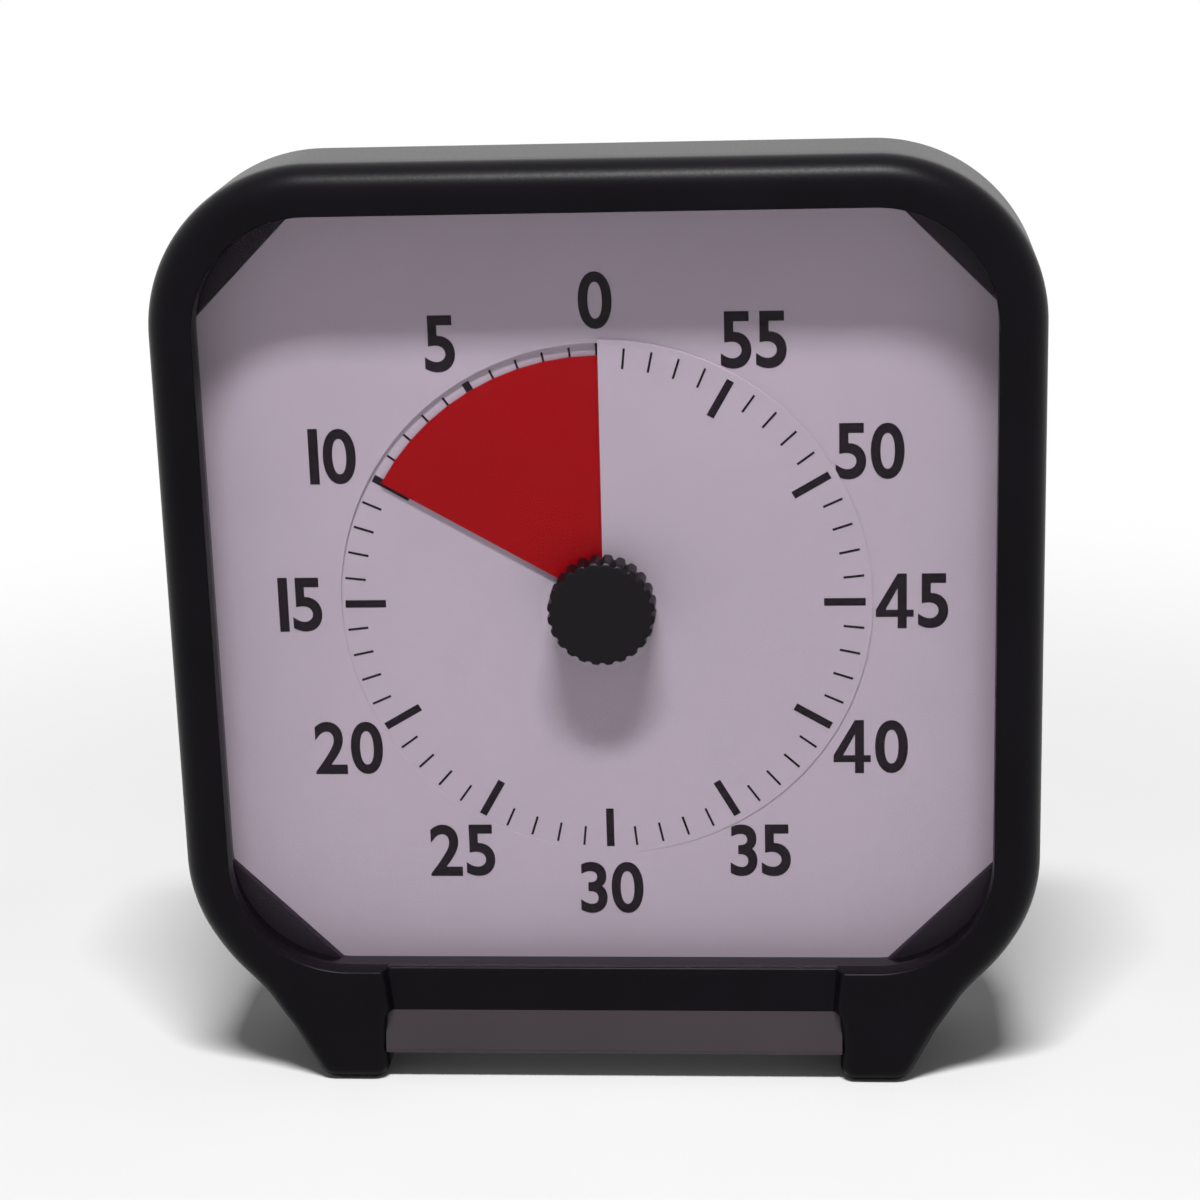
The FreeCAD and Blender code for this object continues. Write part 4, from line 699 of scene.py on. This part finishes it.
@dataclass
class Dial:
    """The printed marks on the dial: numerals, and ticks that follow the spiral ramp.

    Attributes:
        face_depth: Depth of the flat surround.
        pitch: Rise of the ramp over one turn.
        numeral_radius: Where the numerals' middles lie.
        numeral_height: Height of a digit.
        digit_gap: Room between two digits, as a share of their height.
        digit_weight: How far the letter form is thickened.
        digit_narrow: Share of its width that the letter form keeps.
        tick_outer: Outer end of every tick.
        long_inner: Inner end of a five-minute tick.
        short_inner: Inner end of a minute tick.
        long_width: Width of a five-minute tick.
        short_width: Width of a minute tick.
        ink: Thickness of the print.
    """

    face_depth: float = 0.012
    pitch: float = 0.0015
    numeral_radius: float = 0.067
    numeral_height: float = 0.0124
    digit_gap: float = 0.075
    digit_weight: float = 0.02
    digit_narrow: float = 0.9
    tick_outer: float = 0.057
    long_inner: float = 0.048
    short_inner: float = 0.0525
    long_width: float = 0.0017
    short_width: float = 0.0005
    ink: float = 0.00004

    def ramp_depth(self, angle: np.ndarray) -> np.ndarray:
        """Depth of the ramp, face + pitch (1/2 - angle / 360), with the angle in degrees."""
        return self.face_depth + self.pitch * (0.5 - angle / 360)

    def ticks(self) -> bpy.types.Object:
        """Sixty ticks less the one at the slit, each a thin slab.

        A corner at angle f and radius r, shifted w across, lies at x = w cos f - r sin f,
        z = r cos f + w sin f.

        Returns:
            The piece.
        """
        minute = np.arange(1, 60)
        long = minute % 5 == 0
        inner = np.where(long, self.long_inner, self.short_inner)
        half = np.where(long, self.long_width, self.short_width) / 2
        turn = np.radians(minute * 6.0)
        depth = self.ramp_depth(minute * 6.0)
        corners = []
        for lift in (self.ink, -self.ink / 2):
            for r, side in ((inner, -1), (self.tick_outer, -1), (self.tick_outer, 1), (inner, 1)):
                across = side * half
                x = -r * np.sin(turn) + across * np.cos(turn)
                z = DIAL_Z + r * np.cos(turn) + across * np.sin(turn)
                corners.append(np.stack([x, FRONT_Y + depth - lift, z], axis=1))
        points = np.stack(corners, axis=1).reshape(-1, 3)
        box = np.array([[0, 1, 2, 3], [7, 6, 5, 4], [0, 4, 5, 1], [1, 5, 6, 2], [2, 6, 7, 3], [3, 7, 4, 0]])
        faces = (box[None] + 8 * np.arange(len(minute))[:, None, None]).reshape(-1, 4).tolist()
        return mesh_object("dial_ticks", points, faces, INK)

    def four(self) -> tuple[np.ndarray, list]:
        """The digit 4: a stem, a bar and a slanted stroke, one unit high.

        Returns:
            Flat points and faces.
        """
        bar_low, bar_high, joint = 0.21, 0.34, 0.73
        left, stem, right, end, foot = 0.0, 0.38, 0.54, 0.66, 0.17
        points = np.array([
            (left, bar_low), (left, bar_high), (foot, bar_high), (stem, bar_high), (stem, bar_low),
            (stem, joint), (stem, 1.0), (right, 1.0), (right, joint), (right, bar_high), (right, bar_low),
            (end, bar_low), (end, bar_high), (stem, 0.0), (right, 0.0)])
        faces = [[0, 4, 3, 2, 1], [1, 2, 5, 6], [5, 8, 7, 6], [3, 9, 8, 5], [4, 10, 9, 3], [13, 14, 10, 4],
                 [10, 11, 12, 9]]
        return points, faces

    def digit(self, character: str) -> tuple[np.ndarray, list]:
        """One digit, one unit high, with its left side at x = 0.

        Args:
            character: The digit.

        Returns:
            Flat points and faces.
        """
        if character == "4":
            return self.four()
        curve = bpy.data.curves.new(f"digit_{character}", "FONT")
        curve.body = character
        curve.offset = self.digit_weight
        curve.resolution_u = 6
        source = bpy.data.objects.new(curve.name, curve)
        bpy.context.scene.collection.objects.link(source)
        bpy.context.view_layer.update()
        flat = bpy.data.meshes.new_from_object(source.evaluated_get(bpy.context.evaluated_depsgraph_get()))
        local = np.empty(len(flat.vertices) * 3, dtype=np.float32)
        flat.vertices.foreach_get("co", local)
        plane = local.reshape(-1, 3)[:, :2].astype(float)
        faces = [list(p.vertices) for p in flat.polygons]
        bpy.data.objects.remove(source)
        bpy.data.curves.remove(curve)
        bpy.data.meshes.remove(flat)
        low, high = plane.min(0), plane.max(0)
        return (plane - low) / (high[1] - low[1]) * [self.digit_narrow, 1.0], faces

    def numerals(self) -> bpy.types.Object:
        """The numerals 0 to 55, upright, as thin slabs of ink on the surround.

        A digit's flat faces are its front and its back, and each edge that only one face has gets a side.

        Returns:
            The piece.
        """
        points, faces, count = [], [], 0
        for step in range(12):
            digits = [self.digit(c) for c in str(step * 5)]
            widths = [plane[:, 0].max() for plane, _ in digits]
            reach = sum(widths) + self.digit_gap * (len(digits) - 1)
            turn = math.radians(30 * step)
            across = -reach / 2
            for (plane, flat), width in zip(digits, widths):
                x = (plane[:, 0] + across) * self.numeral_height - self.numeral_radius * math.sin(turn)
                z = (plane[:, 1] - 0.5) * self.numeral_height + DIAL_Z + self.numeral_radius * math.cos(turn)
                place = np.stack([x, z], axis=1)
                points.append(at_depth(place, self.face_depth - self.ink))
                points.append(at_depth(place, self.face_depth + self.ink / 2))
                back = count + len(plane)
                edges = {(f[k - 1], f[k]) for f in flat for k in range(len(f))}
                rim = [(a, b) for a, b in sorted(edges) if (b, a) not in edges]
                faces += [[v + count for v in f] for f in flat]
                faces += [[v + back for v in f[::-1]] for f in flat]
                faces += [[b + count, a + count, a + back, b + back] for a, b in rim]
                count += 2 * len(plane)
                across += width + self.digit_gap
        return mesh_object("dial_numerals", np.concatenate(points), faces, INK)

    def build(self) -> None:
        """Print the dial and put the marks on the case, which carries it."""
        for piece in (self.ticks(), self.numerals()):
            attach(piece, "case")


@dataclass
class Knob:
    """The fluted setting knob, a turned profile whose skirt is drawn in by evenly spaced flutes.

    Attributes:
        radius: Largest radius.
        front: Depth of its face.
        back: Depth of its rear edge.
        flutes: Number of flutes.
        flute_depth: How deep a flute is.
        flute_start: Sine of the angle on the round at which the flutes start.
        edge: Radius of the round at its face.
        wall: Thickness of its skirt.
        boss: Radius of the boss inside.
        bore: Radius of the bore for the arbor.
        inside: Depth of the hollow behind the face.
        bore_end: Depth of the bore's end behind the face.
        dish: Points on the face, as (radius, how far they are sunk).
        rim: Width of the flat rim round the dish.
        back_trim: Trim at the rear edge.
    """

    radius: float = 0.01175
    front: float = 0.003
    back: float = 0.010
    flutes: int = 24
    flute_depth: float = 0.001
    flute_start: float = 0.35
    edge: float = 0.0012
    wall: float = 0.0026
    boss: float = 0.0046
    bore: float = 0.00252
    inside: float = 0.0024
    bore_end: float = 0.0016
    dish: tuple[tuple[float, float], ...] = ((0.0, 0.0003), (0.0025, 0.00028), (0.006, 0.00015))
    rim: float = 0.001
    back_trim: float = 0.0004

    def build(self) -> None:
        """Build the knob on the spindle.

        The surface is r(v) less d(v) c(a) ** 3 with c(a) = (1 + cos(n a)) / 2, so each flute is a narrow
        scallop.
        """
        turns = np.linspace(0, 2 * math.pi, self.flutes * 16, endpoint=False)
        scallop = ((1 + np.cos(self.flutes * turns)) / 2) ** 3
        rows = [(r, self.front + sink, 0.0) for r, sink in self.dish]
        rows.append((self.radius - self.edge - self.rim, self.front, 0.0))
        for t in np.linspace(0, math.pi / 2, 8):
            share = max(0.0, (math.sin(t) - self.flute_start) / (1 - self.flute_start))
            r = self.radius - self.edge * (1 - math.sin(t))
            rows.append((r, self.front + self.edge * (1 - math.cos(t)), share))
        trim, blunt = self.back_trim, self.back_trim / 4
        for depth in np.linspace(self.front + self.edge + 2 * trim, self.back - trim, 6):
            rows.append((self.radius, depth, 1.0))
        rows += [(self.radius - blunt, self.back - blunt, 1.0), (self.radius - trim, self.back, 1.0)]
        hollow, end = self.front + self.inside, self.front + self.bore_end
        rows += [(self.radius - self.wall, self.back, 0.0), (self.radius - self.wall, hollow, 0.0)]
        rows += [(self.boss, hollow, 0.0), (self.boss, self.back, 0.0), (self.bore, self.back, 0.0)]
        rows += [(self.bore, end, 0.0), (0.0, end, 0.0)]
        rings = []
        for r, depth, share in rows:
            reach = r - self.flute_depth * share * scallop
            plane = np.stack([reach * np.cos(turns), DIAL_Z + reach * np.sin(turns)], axis=1)
            rings.append(at_depth(plane, depth))
        points = np.concatenate(rings)
        piece = mesh_object("setting_knob", points, grid_faces(len(rows), len(turns), False, True), KNOB)
        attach(piece, "spindle")
        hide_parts("knob")


@dataclass
class ScrewDrives:
    """The domed tops of the four case screws, each with a cross recess for a driver.

    Attributes:
        radius: Radius of a screw's head.
        dome: Height of the dome.
        arm: Half the length of an arm of the cross.
        slot: Half the width of an arm.
        soft: Half the width of the cross's soft edge.
        lift: How far the dome's edge stands off the head's flat.
        skirt: How far its side reaches into the head.
        steps: Points round a head.
    """

    radius: float = 0.0024
    dome: float = 0.0006
    arm: float = 0.00145
    slot: float = 0.00034
    soft: float = 0.00012
    lift: float = 0.00003
    skirt: float = 0.0001
    steps: int = 96

    def build(self) -> None:
        """Put a top on each head.

        With r the distance from the middle and k = r / radius, the height is dome (1 - k k) (1 - cross).
        The cross is 1 if one of |x|, |z| is under slot and the other under arm, with a soft edge.
        """
        low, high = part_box("case_screws")
        turns = np.linspace(0, 2 * math.pi, self.steps, endpoint=False)
        inside = np.linspace(0.0001, self.radius * 0.98, 30)
        radii = np.concatenate([[0.0], inside, [self.radius, self.radius]])
        r, a = np.meshgrid(radii, turns, indexing="ij")
        x, z = r * np.cos(a), r * np.sin(a)
        near, far = np.minimum(np.abs(x), np.abs(z)), np.maximum(np.abs(x), np.abs(z))
        cross = 1 - smoothstep(near, self.slot - self.soft, self.slot + self.soft)
        cross = cross * (1 - smoothstep(far, self.arm - self.soft, self.arm + self.soft))
        rise = self.dome * (1 - (r / self.radius) ** 2) * (1 - cross) + self.lift
        rise[-1] = -self.skirt
        points, faces = [], []
        for px in (low.x + self.radius, high.x - self.radius):
            for pz in (low.z + self.radius, high.z - self.radius):
                start = len(points) * r.size
                faces += grid_faces(len(radii), self.steps, False, True, start)
                faces.append([start + (len(radii) - 1) * self.steps + k for k in range(self.steps)])
                points.append(np.stack([x + px, rise + high.y, z + pz], axis=-1).reshape(-1, 3))
        piece = mesh_object("screw_drives", np.concatenate(points), faces, STEEL)
        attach(piece, "case")


@dataclass
class CarriedOver:
    """The CAD nodes that stay as they are, each given the finish of its slot."""

    def build(self) -> None:
        """Give every shown node its finish."""
        slots = {entry["node"]: entry["material_slot"] for entry in frame["record"]["subparts"]}
        for name, node in frame["nodes"].items():
            finish = SLOT_FINISH[slots[name]]
            if not node.material_slots:
                node.data.materials.append(None)
            for place in node.material_slots:
                place.material = finish.material()
        LOG.info("finishes on %d nodes", len(frame["nodes"]))


@dataclass
class Studio:
    """Floor, world, lamps and camera.

    Attributes:
        target: Point in the middle of the view.
        yaw: Camera's turn to the right of the front, in degrees.
        pitch: Camera's height above level, in degrees.
        roll: Turn of the picture, in degrees.
        distance: Camera to target.
        lens: Focal length, in millimetres on a sensor 36 mm wide.
    """

    target: tuple[float, float, float] = (0.0002, -0.022, 0.1137)
    yaw: float = 4.68
    pitch: float = 16.86
    roll: float = 1.73
    distance: float = 0.622
    lens: float = 87.18

    def build(self) -> None:
        """Set up the whole studio."""
        self.floor()
        self.world()
        self.lamp("key", place=(0.05, -0.74, 2.0), size=(0.7, 0.16), power=61.0)
        self.lamp("back_glow", place=(0.0, 1.7, 0.62), size=(2.6, 0.6), power=2.5)
        self.camera()
        bpy.context.scene.view_settings.view_transform = "Standard"

    def floor(self) -> None:
        """A plain pale floor that keeps the object's shadow and is even white further off."""
        bpy.ops.mesh.primitive_plane_add(size=8.0, location=(0, 0, 0))
        plane = bpy.context.object
        plane.name = "floor"
        made = bpy.data.materials.new("floor_pale")
        made.use_nodes = True
        tree = made.node_tree
        where = new_node(tree, "TexCoord", {}).outputs["Object"]
        noise = new_node(tree, "TexNoise", {"Scale": 14.0, "Vector": where})
        shade = new_node(tree, "ValToRGB", {"Fac": noise.outputs["Fac"]})
        for stop, grey in enumerate((0.60, 0.63)):
            shade.color_ramp.elements[stop].color = (grey, grey, grey, 1.0)
        shader = tree.nodes["Principled BSDF"]
        fill(tree, shader, {
            "Roughness": 0.9, "Specular IOR Level": 0.1, "Base Color": shade.outputs["Color"]})
        reach = new_node(tree, "VectorMath", {0: where}, operation="LENGTH")
        far = new_node(tree, "MapRange", {"From Min": 0.16, "From Max": 0.5, "Value": reach.outputs["Value"]},
                       interpolation_type="SMOOTHSTEP")
        share = new_node(tree, "Math", {0: far.outputs["Result"], 1: self.seen_directly(tree)},
                         operation="MULTIPLY")
        white = new_node(tree, "Emission", {})
        either = new_node(tree, "MixShader", {
            0: share.outputs["Value"], 1: shader.outputs["BSDF"], 2: white.outputs["Emission"]})
        fill(tree, tree.nodes["Material Output"], {"Surface": either.outputs["Shader"]})
        plane.data.materials.append(made)

    def seen_directly(self, tree: bpy.types.NodeTree) -> bpy.types.NodeSocket:
        """A value of 1 for what the camera sees, straight or by way of a mirror or glass.

        Args:
            tree: Node tree of the material or world.

        Returns:
            The socket of the value.
        """
        path = new_node(tree, "LightPath", {})
        value = path.outputs["Is Camera Ray"]
        for name in ("Is Glossy Ray", "Is Transmission Ray"):
            most = new_node(tree, "Math", {0: value, 1: path.outputs[name]}, operation="MAXIMUM")
            value = most.outputs["Value"]
        return value

    def world(self) -> None:
        """A plain world: white where it is seen, and a soft even light on the object."""
        world = bpy.data.worlds.new("studio")
        bpy.context.scene.world = world
        world.use_nodes = True
        tree, white = world.node_tree, (1.0, 1.0, 1.0, 1.0)
        light = tree.nodes["Background"]
        fill(tree, light, {"Color": white, "Strength": 0.22})
        shown = new_node(tree, "Background", {"Color": white, "Strength": 1.0})
        either = new_node(tree, "MixShader", {
            0: self.seen_directly(tree), 1: light.outputs["Background"], 2: shown.outputs["Background"]})
        fill(tree, tree.nodes["World Output"], {"Surface": either.outputs["Shader"]})

    def lamp(self, name: str, place: tuple[float, float, float], size: tuple[float, float],
             power: float) -> None:
        """A rectangular soft lamp that faces the object.

        Args:
            name: Lamp name.
            place: Where it hangs.
            size: Width and height.
            power: Power in watts.
        """
        data = bpy.data.lights.new(name, "AREA")
        data.shape = "RECTANGLE"
        data.size, data.size_y = size
        data.energy = power
        lamp = bpy.data.objects.new(name, data)
        lamp.location = place
        lamp.rotation_euler = (Vector((0, 0, BODY_Z)) - Vector(place)).to_track_quat("-Z", "Y").to_euler()
        bpy.context.scene.collection.objects.link(lamp)

    def camera(self) -> None:
        """The camera at the photograph's angle, for a square picture."""
        yaw, pitch = math.radians(self.yaw), math.radians(self.pitch)
        back = Vector((math.sin(yaw) * math.cos(pitch), -math.cos(yaw) * math.cos(pitch), math.sin(pitch)))
        right = Vector((0, 0, 1)).cross(back).normalized()
        up = back.cross(right)
        roll = Matrix.Rotation(math.radians(-self.roll), 4, "Z")
        turn = Matrix((right, up, back)).transposed().to_4x4() @ roll
        data = bpy.data.cameras.new("camera")
        data.lens = self.lens
        data.sensor_width = 36.0
        camera = bpy.data.objects.new("camera", data)
        camera.matrix_world = Matrix.Translation(Vector(self.target) + back * self.distance) @ turn
        bpy.context.scene.collection.objects.link(camera)
        bpy.context.scene.camera = camera


def main() -> None:
    """Build the pieces in order, dress the carried-over nodes and set up the studio."""
    logging.basicConfig(level=logging.INFO, format="%(name)s %(message)s")
    FrontCase().build()
    Dial().build()
    Knob().build()
    ScrewDrives().build()
    CarriedOver().build()
    Studio().build()


if __name__ == "__main__":
    main()
